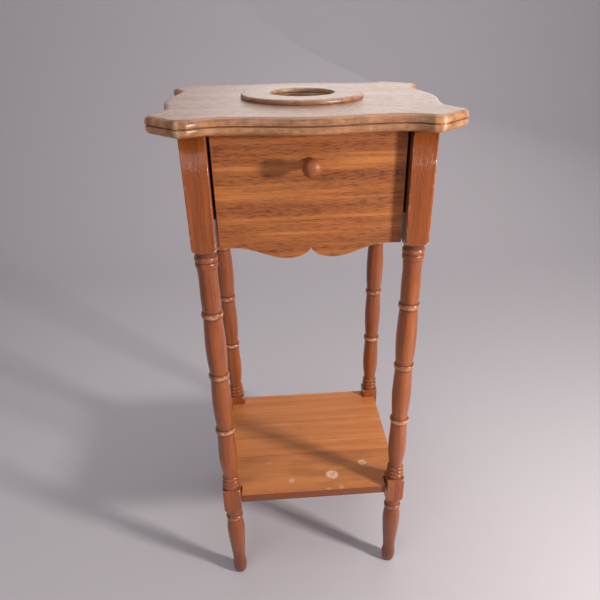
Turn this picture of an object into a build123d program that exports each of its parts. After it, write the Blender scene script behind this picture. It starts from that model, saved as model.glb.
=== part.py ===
"""Small four-legged sewing table with turned legs, a shaped top, one drawer and a low shelf.

Millimetres. The origin is on the floor under the middle of the table, +Z is up, the drawer
opens towards -Y and +X is to the right of someone who faces the drawer.
"""

from build123d import *

import os
from math import radians, tan

os.makedirs("parts", exist_ok=True)

# ---------------------------------------------------------------- driving dimensions

GLUE_LINE = 0.05  # room round a pin or a screw in its hole
SLIDE_GAP = 0.4  # room under and beside the moving drawer

# Top board and its ring
TOP_UNDER = 616.5
TOP_THICK = 16.0
TOP_HALF_X = 151.5
TOP_HALF_Y = 139.0
TOP_ROUND = 5.0
EAR_CHAMFER = 31.0  # the clipped corner
EAR_LAND = 10.0  # flat of the ear beside the clipped corner
RECESS_SIDE = 12.0  # how far the wavy edge draws in at the sides
RECESS_FRONT = 11.0  # and at the front and back
BOW_SIDE = 3.5  # how far the bow in the middle of a side stays inside the ears
BOW_FRONT = 1.0  # and in the middle of the front and back
RECESS_X = 80.0
RECESS_Y = 68.0
GROOVE_TALL = 1.4
GROOVE_DEEP = 1.2
HOLE_R = 35.0
RING_R = 66.5
RING_THICK = 5.0
RING_ROUND = 2.5
RING_BORE_ROUND = 1.0

# Legs, on their centres
LEG_X = 110.0
LEG_Y = 104.0
POST = 25.0
POST_BOTTOM = 500.0
BLOCK = 23.0
BLOCK_BOTTOM = 128.5
BLOCK_TOP = 168.0
SHOULDER = 7.5  # height over which the lathe rounds off a square's corners

# Aprons, drawer front and the carcass rails
PANEL = 12.5
PANEL_RECESS = 10.0
APRON_BOTTOM = 501.5
RAIL_TOP = 541.0
RAIL_THICK = 12.5
RAIL_DEEP = 25.0
RUNNER_WIDE = 20.0
GUIDE_TALL = 12.0
KICKER_TALL = 11.5
KICKER_WIDE = 16.0
STOP_NEAR = 35.0  # the drawer stops, from the middle outwards and upwards
STOP_FAR = 55.0
STOP_LOW = 565.0
STOP_HIGH = 585.0

# Drawer
FRONT_HALF = 95.0
FRONT_TOP = 615.5
SCALLOP_END = 78.0  # where the lower edge leaves its straight ends
LOBE_X = 24.0  # the lowest point of each lobe
LOBE_DROP = 13.0
NOTCH_DROP = 2.5  # the tip of the notch in the middle, under the straight ends
DRAWER_HALF = 92.0
DRAWER_TOP = 603.0
DRAWER_BACK = 84.0
BACK_DROP = 3.0  # how far the back's upper edge lies under the sides
SIDE_THICK = 8.0
HOUSING = 5.0
BOTTOM_THICK = 3.5
BOTTOM_LIFT = 5.0
BOTTOM_GROOVE = 4.0
BOTTOM_ROOM = 0.3  # room at the end of the bottom's tongues
KNOB_Z = 586.0

# Shelf
SHELF_TOP = 155.0
SHELF_THICK = 12.5
SHELF_HALF_X = 117.0
SHELF_HALF_Y = 111.0
SHELF_JOINT = -36.0
NOTCH_GAPS = {"front": 1.2, "back": 0.5}  # room beside the leg blocks
SHELF_ROUND = 1.5

# Pins, screws and nails
APRON_PIN_R = 4.0
RAIL_PIN_R = 3.0
PIN_HALF = 14.0
RAIL_PIN_HALF = 10.0
END_ROOM = 0.5  # room at the blind end of a pin's hole
SCREW_HEAD_R = 3.4
SCREW_R = 1.9
SCREW_POINT = 4.0
NAIL_HEAD_R = 1.6
NAIL_R = 0.8
NAIL_HEAD_TALL = 0.8
NAIL_POINT = 2.0

# ---------------------------------------------------------------- worked out from them

POST_IN_X = LEG_X - POST / 2
POST_IN_Y = LEG_Y - POST / 2
POST_OUT_X = LEG_X + POST / 2
POST_OUT_Y = LEG_Y + POST / 2
APRON_OUT_X = POST_OUT_X - PANEL_RECESS
APRON_IN_X = APRON_OUT_X - PANEL
APRON_MID_X = APRON_OUT_X - PANEL / 2
BACK_OUT_Y = POST_OUT_Y - PANEL_RECESS
BACK_IN_Y = BACK_OUT_Y - PANEL
BACK_MID_Y = BACK_OUT_Y - PANEL / 2
FRONT_FACE = -BACK_OUT_Y
FRONT_REAR = -BACK_IN_Y
RAIL_BOTTOM = RAIL_TOP - RAIL_THICK
RAIL_MID = RAIL_TOP - RAIL_THICK / 2
RUNNER_FRONT = -POST_IN_Y + RAIL_DEEP
RUNNER_IN_X = APRON_IN_X - RUNNER_WIDE
GUIDE_IN_X = DRAWER_HALF + 2 * SLIDE_GAP
KICKER_BOTTOM = TOP_UNDER - KICKER_TALL
KICKER_IN_X = APRON_IN_X - KICKER_WIDE
DRAWER_UNDER = RAIL_TOP + SLIDE_GAP
BOTTOM_UNDER = DRAWER_UNDER + BOTTOM_LIFT
BOTTOM_TOP = BOTTOM_UNDER + BOTTOM_THICK
SHELF_UNDER = SHELF_TOP - SHELF_THICK
SHELF_PIN_Z = SHELF_TOP - SHELF_THICK / 2
BLOCK_IN_X = LEG_X - BLOCK / 2
BLOCK_IN_Y = LEG_Y - BLOCK / 2

CORNERS = {
    "front_left": (-1, -1),
    "front_right": (1, -1),
    "back_left": (-1, 1),
    "back_right": (1, 1),
}
SIDES = {"left": -1, "right": 1}

SIDE_PIN_HEIGHTS = (525.0, 590.0)
BACK_PIN_HEIGHTS = (538.0, 577.0)
RAIL_PIN_PLACES = (-POST_IN_Y + RAIL_DEEP / 4, -POST_IN_Y + RAIL_DEEP * 3 / 4)
TOP_PIN_LOW = 599.0
TOP_PIN_LONG = 27.0
TOP_SCREW_PLACES = (-60.0, 60.0)
KICKER_SCREW_PLACES = (-35.0, 35.0)
RUNNER_SCREW_PLACES = (-40.0, 60.0)
TOP_SCREW_LONG = 20.0
KICKER_SCREW_LONG = 24.0
RUNNER_SCREW_LONG = 28.0
KNOB_SCREW_LONG = 24.5
SHELF_PIN_X = LEG_X - 4.0
SIDE_NAIL_HEIGHTS = (560.0, 592.0)
BOTTOM_NAIL_PLACES = (-60.0, 0.0, 60.0)
NAIL_LONG = 22.0


# ---------------------------------------------------------------- helpers


def keep(piece, label):
    """Labels a finished piece and writes it."""
    piece.part.label = label
    export_step(piece.part, f"parts/{label}.step")


def box_between(low, high, mode=Mode.ADD):
    """A plain board between two opposite corners."""
    middle = [(a + b) / 2 for a, b in zip(low, high)]
    with Locations(tuple(middle)):
        Box(high[0] - low[0], high[1] - low[1], high[2] - low[2], mode=mode)


def pin(start, along, length, radius, mode=Mode.ADD):
    """A round pin, or its hole, from a start point along a direction."""
    with Locations(Plane(origin=start, z_dir=along)):
        Cylinder(radius, length, align=(Align.CENTER, Align.CENTER, Align.MIN), mode=mode)


def spun(start, along, outline, mode=Mode.ADD):
    """A turned solid: outline is (radius, distance along) points, closed on the axis."""
    along = Vector(along)
    across = Plane(origin=start, z_dir=along).x_dir
    with BuildSketch(Plane(origin=start, x_dir=across, z_dir=across.cross(along))) as half:
        with BuildLine():
            Polyline(*outline, close=True)
        make_face()
    revolve(half.sketch, axis=Axis(start, along), mode=mode)


def screw(start, along, length, room=0.0, mode=Mode.ADD):
    """A countersunk wood screw, its flat head at start, or its hole with some room."""
    head, shank = SCREW_HEAD_R + room, SCREW_R + room
    slope = SCREW_HEAD_R - SCREW_R
    outline = [(0, 0), (head, 0), (shank, slope), (shank, length - SCREW_POINT), (0, length + room)]
    spun(start, along, outline, mode)


def nail(start, along, length, room=0.0, mode=Mode.ADD):
    """A flat-headed nail, its head at start, or its hole with some room."""
    head, shank = NAIL_HEAD_R + room, NAIL_R + room
    outline = [(0, 0), (head, 0), (head, NAIL_HEAD_TALL), (shank, NAIL_HEAD_TALL)]
    spun(start, along, outline + [(shank, length - NAIL_POINT), (0, length + room)], mode)


# ---------------------------------------------------------------- where pins and screws go


def side_apron_pins():
    """Start point and direction of each pin between a side apron and a leg."""
    for side in (-1, 1):
        for end in (-1, 1):
            for height in SIDE_PIN_HEIGHTS:
                start = (side * APRON_MID_X, end * (POST_IN_Y - PIN_HALF), height)
                yield start, (0, end, 0)


def back_apron_pins():
    """Start point and direction of each pin between the back apron and a leg."""
    for side in (-1, 1):
        for height in BACK_PIN_HEIGHTS:
            yield (side * (POST_IN_X - PIN_HALF), BACK_MID_Y, height), (side, 0, 0)


def rail_pins():
    """Start point and direction of each pin between the front rail and a side apron."""
    for side in (-1, 1):
        for place in RAIL_PIN_PLACES:
            yield (side * (APRON_IN_X - RAIL_PIN_HALF), place, RAIL_MID), (side, 0, 0)


def top_pins():
    """Start point of the upright pin in each leg's end."""
    for side_x, side_y in CORNERS.values():
        yield (side_x * LEG_X, side_y * LEG_Y, TOP_PIN_LOW)


def shelf_pins():
    """Start point and direction of each pin between the shelf and a leg block."""
    for side_x, side_y in CORNERS.values():
        yield (side_x * SHELF_PIN_X, side_y * (BLOCK_IN_Y - PIN_HALF), SHELF_PIN_Z), (0, side_y, 0)


def top_screws():
    """Start point of each screw that goes up through a kicker into the top."""
    for side in (-1, 1):
        for place in TOP_SCREW_PLACES:
            yield (side * (KICKER_IN_X + KICKER_WIDE / 2), place, KICKER_BOTTOM)


def kicker_screws():
    """Start point and direction of each screw from a kicker into its apron."""
    for side in (-1, 1):
        for place in KICKER_SCREW_PLACES:
            yield (side * KICKER_IN_X, place, KICKER_BOTTOM + KICKER_TALL / 2), (side, 0, 0)


def runner_screws():
    """Start point and direction of each screw from a runner into its apron."""
    for side in (-1, 1):
        for place in RUNNER_SCREW_PLACES:
            yield (side * RUNNER_IN_X, place, RAIL_MID), (side, 0, 0)


def drawer_side_nails():
    """Start point and direction of each nail through a drawer side into the drawer back."""
    for side in (-1, 1):
        for height in SIDE_NAIL_HEIGHTS:
            yield (side * DRAWER_HALF, DRAWER_BACK - SIDE_THICK / 2, height), (-side, 0, 0)


def drawer_bottom_nails():
    """Start point of each nail up through the drawer bottom into the drawer back."""
    for place in BOTTOM_NAIL_PLACES:
        yield (place, DRAWER_BACK - SIDE_THICK / 2, BOTTOM_UNDER)


# ---------------------------------------------------------------- top


def top_outline(inset=0.0):
    """The plan of the top, drawn in by inset: clipped ears at the corners, a wavy edge between."""
    half_x, half_y = TOP_HALF_X - inset, TOP_HALF_Y - inset
    bow_x, bow_y = half_x - BOW_SIDE, half_y - BOW_FRONT
    deep_x, deep_y = half_x - RECESS_SIDE, half_y - RECESS_FRONT
    slip = inset * tan(radians(22.5))
    clip_x, clip_y = TOP_HALF_X - EAR_CHAMFER - slip, TOP_HALF_Y - EAR_CHAMFER - slip
    land_x, land_y = clip_x - EAR_LAND + 2 * slip, clip_y - EAR_LAND + 2 * slip
    with BuildSketch() as plan:
        with BuildLine():
            Spline((0, bow_y), (RECESS_X, deep_y), tangents=((1, 0), (1, 0)))
            Spline((RECESS_X, deep_y), (land_x, half_y), tangents=((1, 0), (0.7, 0.7)))
            Polyline((land_x, half_y), (clip_x, half_y), (half_x, clip_y), (half_x, land_y))
            Spline((half_x, land_y), (deep_x, RECESS_Y), tangents=((-0.7, -0.7), (0, -1)))
            Spline((deep_x, RECESS_Y), (bow_x, 0), tangents=((0, -1), (0, -1)))
            mirror(about=Plane.XZ)
            mirror(about=Plane.YZ)
        make_face()
    return plan.sketch


def make_top_board():
    """The board, with its rounded edges, the groove round them, the hole and the blind holes."""
    middle = TOP_UNDER + TOP_THICK / 2
    plan = top_outline()
    with BuildPart() as top_board:
        with BuildSketch(Plane.XY.offset(TOP_UNDER)):
            add(plan)
        extrude(amount=TOP_THICK)
        rims = top_board.edges().group_by(Axis.Z)
        fillet(rims[0] + rims[-1], TOP_ROUND)
        with BuildSketch(Plane.XY.offset(middle - GROOVE_TALL / 2)):
            Rectangle(2 * TOP_HALF_X + 2, 2 * TOP_HALF_Y + 2)
            add(top_outline(GROOVE_DEEP), mode=Mode.SUBTRACT)
        extrude(amount=GROOVE_TALL, mode=Mode.SUBTRACT)
        pin((0, 0, TOP_UNDER), (0, 0, 1), TOP_THICK, HOLE_R, Mode.SUBTRACT)
        for start in top_pins():
            pin(start, (0, 0, 1), TOP_PIN_LONG + END_ROOM, APRON_PIN_R + GLUE_LINE, Mode.SUBTRACT)
        for start in top_screws():
            screw(start, (0, 0, 1), TOP_SCREW_LONG, GLUE_LINE, Mode.SUBTRACT)
    keep(top_board, "top_board")


def make_top_ring():
    """The flat turned ring that is glued round the hole."""
    with BuildPart() as top_ring:
        with BuildSketch(Plane.XY.offset(TOP_UNDER + TOP_THICK)):
            Circle(RING_R)
            Circle(HOLE_R, mode=Mode.SUBTRACT)
        extrude(amount=RING_THICK)
        upper = top_ring.edges().group_by(Axis.Z)[-1].sort_by(SortBy.RADIUS)
        fillet(upper[-1], RING_ROUND)
        fillet(upper[0], RING_BORE_ROUND)
    keep(top_ring, "top_ring")


# ---------------------------------------------------------------- legs


def bead(low, high, inner, outer):
    """One rounded ring of a turning."""
    ThreePointArc((inner, low), (outer, (low + high) / 2), (inner, high))


def leg_turning():
    """Half the outline of the turned leg, from the foot up, closed on the axis."""
    Line((0, 0), (6.8, 0))
    Spline((6.8, 0), (9.3, 12), (8.0, 32), (10.0, 66), (11.3, 95), (9.7, 110))
    bead(110, 117, 9.7, 11.2)
    Spline((9.7, 117), (9.3, 120), (11.3, BLOCK_BOTTOM + 1))
    Line((11.3, BLOCK_BOTTOM + 1), (11.3, BLOCK_TOP))
    bead(BLOCK_TOP, 175, 9.9, 11.4)
    Line((11.3, BLOCK_TOP), (9.9, BLOCK_TOP))
    bead(175, 181.5, 9.6, 11.0)
    Line((9.9, 175), (9.6, 175))
    bead(181.5, 187, 9.2, 10.4)
    Line((9.6, 181.5), (9.2, 181.5))
    Spline((9.2, 187), (8.9, 190), (11.4, 220), (10.1, 260.5))
    bead(260.5, 267.5, 10.1, 12.0)
    Spline((10.1, 267.5), (9.9, 271), (11.7, 306), (10.2, 342))
    bead(342, 349, 10.2, 12.0)
    Spline((10.2, 349), (10.4, 353), (12.0, 384), (10.3, 422.5))
    bead(422.5, 429.5, 10.3, 12.2)
    Spline((10.3, 429.5), (10.7, 450), (10.2, 472), (10.9, 482))
    bead(482, 488.5, 10.9, 12.0)
    bead(488.5, 495, 10.9, 12.3)
    Line((10.9, 495), (12.3, POST_BOTTOM))
    Line((12.3, POST_BOTTOM), (12.3, POST_BOTTOM + 5))
    Line((12.3, POST_BOTTOM + 5), (0, POST_BOTTOM + 5))
    Line((0, POST_BOTTOM + 5), (0, 0))


def shouldered(centre, side, low, high, upper_turn):
    """A square length of the leg, its lower corners rounded off by the lathe and its upper ones eased."""
    flat = side / 2 - 0.2
    corner = side * 0.715  # just outside the square's own corners
    tall = high - low
    start = (centre[0], centre[1], low)
    with BuildPart(mode=Mode.PRIVATE) as square:
        with BuildSketch(Plane(origin=start)):
            Rectangle(side, side)
        extrude(amount=tall)
        with BuildSketch(Plane(origin=start, x_dir=(1, 0, 0), z_dir=(0, -1, 0))):
            with BuildLine():
                Spline((flat, 0), (corner, SHOULDER), tangents=((1, 0), (0, 1)))
                Polyline(
                    (corner, SHOULDER),
                    (corner, tall - upper_turn),
                    (corner - upper_turn - 1, tall + 1),
                    (0, tall + 1),
                    (0, 0),
                    (flat, 0),
                )
            make_face()
        revolve(axis=Axis(start, (0, 0, 1)), mode=Mode.INTERSECT)
    return square.part


def make_leg(name, side_x, side_y):
    """One leg: turned from a square, with the post, the shelf block and the foot."""
    centre = (side_x * LEG_X, side_y * LEG_Y)
    upper = shouldered(centre, POST, POST_BOTTOM, TOP_UNDER, 0.0)
    lower = shouldered(centre, BLOCK, BLOCK_BOTTOM, BLOCK_TOP, 1.5)
    with BuildPart() as leg:
        with BuildSketch(Plane(origin=(*centre, 0), x_dir=(1, 0, 0), z_dir=(0, -1, 0))):
            with BuildLine():
                leg_turning()
            make_face()
        revolve(axis=Axis((*centre, 0), (0, 0, 1)))
        add(upper)
        add(lower)
        top_pin = (*centre, TOP_PIN_LOW - END_ROOM)
        pin(top_pin, (0, 0, 1), TOP_PIN_LONG, APRON_PIN_R + GLUE_LINE, Mode.SUBTRACT)
        for height in SIDE_PIN_HEIGHTS:
            start = (side_x * APRON_MID_X, side_y * POST_IN_Y, height)
            pin(start, (0, side_y, 0), PIN_HALF + END_ROOM, APRON_PIN_R + GLUE_LINE, Mode.SUBTRACT)
        if side_y > 0:
            for height in BACK_PIN_HEIGHTS:
                start = (side_x * POST_IN_X, BACK_MID_Y, height)
                pin(start, (side_x, 0, 0), PIN_HALF + END_ROOM, APRON_PIN_R + GLUE_LINE, Mode.SUBTRACT)
        start = (side_x * SHELF_PIN_X, side_y * BLOCK_IN_Y, SHELF_PIN_Z)
        pin(start, (0, side_y, 0), RAIL_PIN_HALF + END_ROOM, RAIL_PIN_R + GLUE_LINE, Mode.SUBTRACT)
    keep(leg, f"leg_{name}")


# ---------------------------------------------------------------- carcass


def make_side_apron(name, side):
    """A side board between two legs, bored for its pins and the screws of what it carries."""
    inner, outer = sorted((side * APRON_IN_X, side * APRON_OUT_X))
    with BuildPart() as apron:
        box_between((inner, -POST_IN_Y, APRON_BOTTOM), (outer, POST_IN_Y, TOP_UNDER))
        for start, along in side_apron_pins():
            if start[0] * side > 0:
                behind = (start[0], start[1] - along[1] * END_ROOM, start[2])
                pin(behind, along, PIN_HALF + END_ROOM, APRON_PIN_R + GLUE_LINE, Mode.SUBTRACT)
        for start, along in rail_pins():
            if along[0] == side:
                pin(start, along, 2 * RAIL_PIN_HALF + END_ROOM, RAIL_PIN_R + GLUE_LINE, Mode.SUBTRACT)
        for start, along in kicker_screws():
            if along[0] == side:
                screw(start, along, KICKER_SCREW_LONG, GLUE_LINE, Mode.SUBTRACT)
        for start, along in runner_screws():
            if along[0] == side:
                screw(start, along, RUNNER_SCREW_LONG, GLUE_LINE, Mode.SUBTRACT)
    keep(apron, f"apron_{name}")


def make_back_apron():
    """The board across the back."""
    with BuildPart() as apron:
        box_between((-POST_IN_X, BACK_IN_Y, APRON_BOTTOM), (POST_IN_X, BACK_OUT_Y, TOP_UNDER))
        for start, along in back_apron_pins():
            behind = (start[0] - along[0] * END_ROOM, start[1], start[2])
            pin(behind, along, PIN_HALF + END_ROOM, APRON_PIN_R + GLUE_LINE, Mode.SUBTRACT)
    keep(apron, "apron_back")


def make_front_rail():
    """The flat rail under the drawer, which ties the side aprons together."""
    with BuildPart() as rail:
        box_between((-APRON_IN_X, -POST_IN_Y, RAIL_BOTTOM), (APRON_IN_X, RUNNER_FRONT, RAIL_TOP))
        for start, along in rail_pins():
            behind = (start[0] - along[0] * END_ROOM, start[1], start[2])
            pin(behind, along, RAIL_PIN_HALF + END_ROOM, RAIL_PIN_R + GLUE_LINE, Mode.SUBTRACT)
    keep(rail, "front_rail")


def make_runner(name, side):
    """The ledge that one drawer side slides on."""
    low, high = sorted((side * RUNNER_IN_X, side * APRON_IN_X))
    with BuildPart() as runner:
        box_between((low, RUNNER_FRONT, RAIL_BOTTOM), (high, POST_IN_Y, RAIL_TOP))
        for start, along in runner_screws():
            if along[0] == side:
                screw(start, along, RUNNER_SCREW_LONG, GLUE_LINE, Mode.SUBTRACT)
    keep(runner, f"runner_{name}")


def make_guide(name, side):
    """The strip that keeps the drawer straight."""
    low, high = sorted((side * GUIDE_IN_X, side * APRON_IN_X))
    with BuildPart() as guide:
        box_between((low, RUNNER_FRONT, RAIL_TOP), (high, POST_IN_Y, RAIL_TOP + GUIDE_TALL))
    keep(guide, f"guide_{name}")


def make_kicker(name, side):
    """The strip over a drawer side, which stops it tipping and holds the top down."""
    low, high = sorted((side * KICKER_IN_X, side * APRON_IN_X))
    with BuildPart() as kicker:
        box_between((low, -POST_IN_Y, KICKER_BOTTOM), (high, POST_IN_Y, TOP_UNDER))
        for start, along in kicker_screws():
            if along[0] == side:
                screw(start, along, KICKER_SCREW_LONG, GLUE_LINE, Mode.SUBTRACT)
        for start in top_screws():
            if start[0] * side > 0:
                screw(start, (0, 0, 1), TOP_SCREW_LONG, GLUE_LINE, Mode.SUBTRACT)
    keep(kicker, f"kicker_{name}")


def make_stop(name, side):
    """A small block on the back apron that the closed drawer meets."""
    low, high = sorted((side * STOP_NEAR, side * STOP_FAR))
    with BuildPart() as stop:
        box_between((low, DRAWER_BACK + SLIDE_GAP, STOP_LOW), (high, BACK_IN_Y, STOP_HIGH))
    keep(stop, f"drawer_stop_{name}")


# ---------------------------------------------------------------- drawer


def front_outline():
    """The tall drawer front: square above, with two lobes and a pointed notch below."""
    end, low, peak = APRON_BOTTOM, APRON_BOTTOM - LOBE_DROP, APRON_BOTTOM - NOTCH_DROP
    Polyline((0, FRONT_TOP), (FRONT_HALF, FRONT_TOP), (FRONT_HALF, end), (SCALLOP_END, end))
    Spline((SCALLOP_END, end), (50, end - 8.0), (LOBE_X, low), tangents=((-1, 0), (-1, 0)))
    Spline((LOBE_X, low), (9, low + 3.0), (0, peak), tangents=((-1, 0), (-0.45, 0.9)))
    mirror(about=Plane.YZ)


def make_drawer_front():
    """The drawer front, with housings for the sides, a groove for the bottom and the screw hole."""
    with BuildPart() as front:
        with BuildSketch(Plane(origin=(0, FRONT_REAR, 0), x_dir=(1, 0, 0), z_dir=(0, -1, 0))):
            with BuildLine():
                front_outline()
            make_face()
        extrude(amount=PANEL)
        for side in (-1, 1):
            low, high = sorted((side * (DRAWER_HALF - SIDE_THICK), side * DRAWER_HALF))
            box_between(
                (low, FRONT_REAR - HOUSING, DRAWER_UNDER),
                (high, FRONT_REAR, DRAWER_TOP),
                Mode.SUBTRACT,
            )
        reach = DRAWER_HALF - SIDE_THICK
        box_between(
            (-reach, FRONT_REAR - HOUSING, BOTTOM_UNDER - GLUE_LINE),
            (reach, FRONT_REAR, BOTTOM_TOP + GLUE_LINE),
            Mode.SUBTRACT,
        )
        screw((0, FRONT_REAR, KNOB_Z), (0, -1, 0), KNOB_SCREW_LONG, GLUE_LINE, Mode.SUBTRACT)
    keep(front, "drawer_front")


def make_drawer_side(name, side):
    """A drawer side, grooved for the bottom."""
    low, high = sorted((side * (DRAWER_HALF - SIDE_THICK), side * DRAWER_HALF))
    inside = DRAWER_HALF - SIDE_THICK
    groove = sorted((side * inside, side * (inside + BOTTOM_GROOVE)))
    with BuildPart() as board:
        box_between((low, FRONT_REAR - HOUSING, DRAWER_UNDER), (high, DRAWER_BACK, DRAWER_TOP))
        box_between(
            (groove[0], FRONT_REAR - HOUSING, BOTTOM_UNDER - GLUE_LINE),
            (groove[1], DRAWER_BACK, BOTTOM_TOP + GLUE_LINE),
            Mode.SUBTRACT,
        )
        for start, along in drawer_side_nails():
            if start[0] * side > 0:
                nail(start, along, NAIL_LONG, GLUE_LINE, Mode.SUBTRACT)
    keep(board, f"drawer_side_{name}")


def make_drawer_back():
    """The drawer back, between the sides and on top of the bottom."""
    reach = DRAWER_HALF - SIDE_THICK
    with BuildPart() as back:
        box_between(
            (-reach, DRAWER_BACK - SIDE_THICK, BOTTOM_TOP + GLUE_LINE),
            (reach, DRAWER_BACK, DRAWER_TOP - BACK_DROP),
        )
        for start, along in drawer_side_nails():
            nail(start, along, NAIL_LONG, GLUE_LINE, Mode.SUBTRACT)
        for start in drawer_bottom_nails():
            nail(start, (0, 0, 1), NAIL_LONG, GLUE_LINE, Mode.SUBTRACT)
    keep(back, "drawer_back")


def make_drawer_bottom():
    """The thin bottom, slid into its grooves from behind and nailed to the back."""
    reach = DRAWER_HALF - SIDE_THICK
    tongue = reach + BOTTOM_GROOVE - BOTTOM_ROOM
    with BuildPart() as bottom:
        box_between((-tongue, FRONT_REAR, BOTTOM_UNDER), (tongue, DRAWER_BACK, BOTTOM_TOP))
        box_between(
            (-reach + BOTTOM_ROOM, FRONT_REAR - HOUSING + BOTTOM_ROOM, BOTTOM_UNDER),
            (reach - BOTTOM_ROOM, FRONT_REAR, BOTTOM_TOP),
        )
        for start in drawer_bottom_nails():
            nail(start, (0, 0, 1), NAIL_LONG, GLUE_LINE, Mode.SUBTRACT)
    keep(bottom, "drawer_bottom")


def make_knob():
    """The turned mushroom knob, bored for its screw."""
    base = (0, FRONT_FACE, KNOB_Z)
    with BuildPart() as knob:
        with BuildSketch(Plane(origin=base, x_dir=(1, 0, 0), z_dir=(0, 0, 1))):
            with BuildLine():
                Line((0, 0), (6.0, 0))
                Line((6.0, 0), (6.0, -1.5))
                Spline((6.0, -1.5), (4.3, -8.5), (6.2, -15.0), (9.3, -20.5), tangents=((-1, -0.6), (0, -1)))
                Spline((9.3, -20.5), (6.6, -26.2), (0, -28.0), tangents=((0, -1), (-1, 0)))
                Line((0, -28.0), (0, 0))
            make_face()
        revolve(axis=Axis(base, (0, -1, 0)))
        screw((0, FRONT_REAR, KNOB_Z), (0, -1, 0), KNOB_SCREW_LONG, GLUE_LINE, Mode.SUBTRACT)
    keep(knob, "knob")


def make_knob_screw():
    """The screw that holds the knob from inside the drawer."""
    with BuildPart() as knob_screw:
        screw((0, FRONT_REAR, KNOB_Z), (0, -1, 0), KNOB_SCREW_LONG)
    keep(knob_screw, "knob_screw")


# ---------------------------------------------------------------- shelf


def make_shelf_board(name, low_y, high_y):
    """One of the two boards that are glued edge to edge and notched round the leg blocks."""
    with BuildPart() as board:
        box_between((-SHELF_HALF_X, low_y, SHELF_UNDER), (SHELF_HALF_X, high_y, SHELF_TOP))
        outer = low_y if name == "front" else high_y
        end = -1 if name == "front" else 1
        rim = board.edges().filter_by(Axis.X).filter_by_position(Axis.Y, outer - 0.1, outer + 0.1)
        ends = board.edges().filter_by(Axis.Y)
        fillet(rim + ends, SHELF_ROUND)
        for side in (-1, 1):
            cut_x = sorted((side * (BLOCK_IN_X - NOTCH_GAPS[name]), side * (SHELF_HALF_X + 1)))
            cut_y = sorted((end * BLOCK_IN_Y, end * (SHELF_HALF_Y + 1)))
            box_between((cut_x[0], cut_y[0], SHELF_UNDER), (cut_x[1], cut_y[1], SHELF_TOP), Mode.SUBTRACT)
        for start, along in shelf_pins():
            if along[1] == end:
                behind = (start[0], start[1] - along[1] * END_ROOM, start[2])
                pin(behind, along, PIN_HALF + END_ROOM, RAIL_PIN_R + GLUE_LINE, Mode.SUBTRACT)
    keep(board, f"shelf_board_{name}")


# ---------------------------------------------------------------- pins, screws and nails


def make_groups():
    """Each set of like pins, screws or nails is one node of separate solids."""
    with BuildPart() as apron_pins:
        for start, along in [*side_apron_pins(), *back_apron_pins()]:
            pin(start, along, 2 * PIN_HALF, APRON_PIN_R)
    keep(apron_pins, "apron_pins")
    with BuildPart() as rail_pin_set:
        for start, along in rail_pins():
            pin(start, along, 2 * RAIL_PIN_HALF, RAIL_PIN_R)
    keep(rail_pin_set, "rail_pins")
    with BuildPart() as top_pin_set:
        for start in top_pins():
            pin(start, (0, 0, 1), TOP_PIN_LONG, APRON_PIN_R)
    keep(top_pin_set, "top_pins")
    with BuildPart() as shelf_pin_set:
        for start, along in shelf_pins():
            pin(start, along, PIN_HALF + RAIL_PIN_HALF, RAIL_PIN_R)
    keep(shelf_pin_set, "shelf_pins")
    with BuildPart() as top_screw_set:
        for start in top_screws():
            screw(start, (0, 0, 1), TOP_SCREW_LONG)
    keep(top_screw_set, "top_screws")
    with BuildPart() as kicker_screw_set:
        for start, along in kicker_screws():
            screw(start, along, KICKER_SCREW_LONG)
    keep(kicker_screw_set, "kicker_screws")
    with BuildPart() as runner_screw_set:
        for start, along in runner_screws():
            screw(start, along, RUNNER_SCREW_LONG)
    keep(runner_screw_set, "runner_screws")
    with BuildPart() as drawer_nails:
        for start, along in drawer_side_nails():
            nail(start, along, NAIL_LONG)
        for start in drawer_bottom_nails():
            nail(start, (0, 0, 1), NAIL_LONG)
    keep(drawer_nails, "drawer_nails")


# ---------------------------------------------------------------- the whole table

make_top_board()
make_top_ring()
for corner, (corner_x, corner_y) in CORNERS.items():
    make_leg(corner, corner_x, corner_y)
for hand, hand_sign in SIDES.items():
    make_side_apron(hand, hand_sign)
    make_runner(hand, hand_sign)
    make_guide(hand, hand_sign)
    make_kicker(hand, hand_sign)
    make_stop(hand, hand_sign)
    make_drawer_side(hand, hand_sign)
make_back_apron()
make_front_rail()
make_drawer_front()
make_drawer_back()
make_drawer_bottom()
make_knob()
make_knob_screw()
make_shelf_board("front", -SHELF_HALF_Y, SHELF_JOINT)
make_shelf_board("back", SHELF_JOINT, SHELF_HALF_Y)
make_groups()
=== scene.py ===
import math

import bmesh
import bpy
import numpy as np
from mathutils import Matrix, Vector


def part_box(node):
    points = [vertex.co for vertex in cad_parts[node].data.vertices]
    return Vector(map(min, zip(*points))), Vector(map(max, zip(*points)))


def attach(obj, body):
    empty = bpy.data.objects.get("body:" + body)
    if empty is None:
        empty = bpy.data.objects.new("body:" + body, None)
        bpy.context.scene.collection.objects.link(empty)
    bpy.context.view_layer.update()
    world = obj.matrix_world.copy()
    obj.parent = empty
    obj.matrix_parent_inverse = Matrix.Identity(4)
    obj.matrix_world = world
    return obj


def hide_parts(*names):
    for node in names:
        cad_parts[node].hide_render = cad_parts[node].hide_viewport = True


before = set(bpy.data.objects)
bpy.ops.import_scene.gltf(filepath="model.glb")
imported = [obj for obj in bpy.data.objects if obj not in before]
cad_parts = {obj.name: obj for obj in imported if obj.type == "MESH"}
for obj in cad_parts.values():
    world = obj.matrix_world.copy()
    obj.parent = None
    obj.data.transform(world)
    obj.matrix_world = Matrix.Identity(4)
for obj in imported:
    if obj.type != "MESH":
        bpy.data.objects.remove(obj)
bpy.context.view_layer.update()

# Looks for a small four-legged sewing table: a shaped top with a ring, turned legs, a scalloped
# drawer and a notched shelf. Metres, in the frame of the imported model. A maker's sizes are given
# in millimetres and multiplied by MM where they are used.

MM = 0.001

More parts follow.
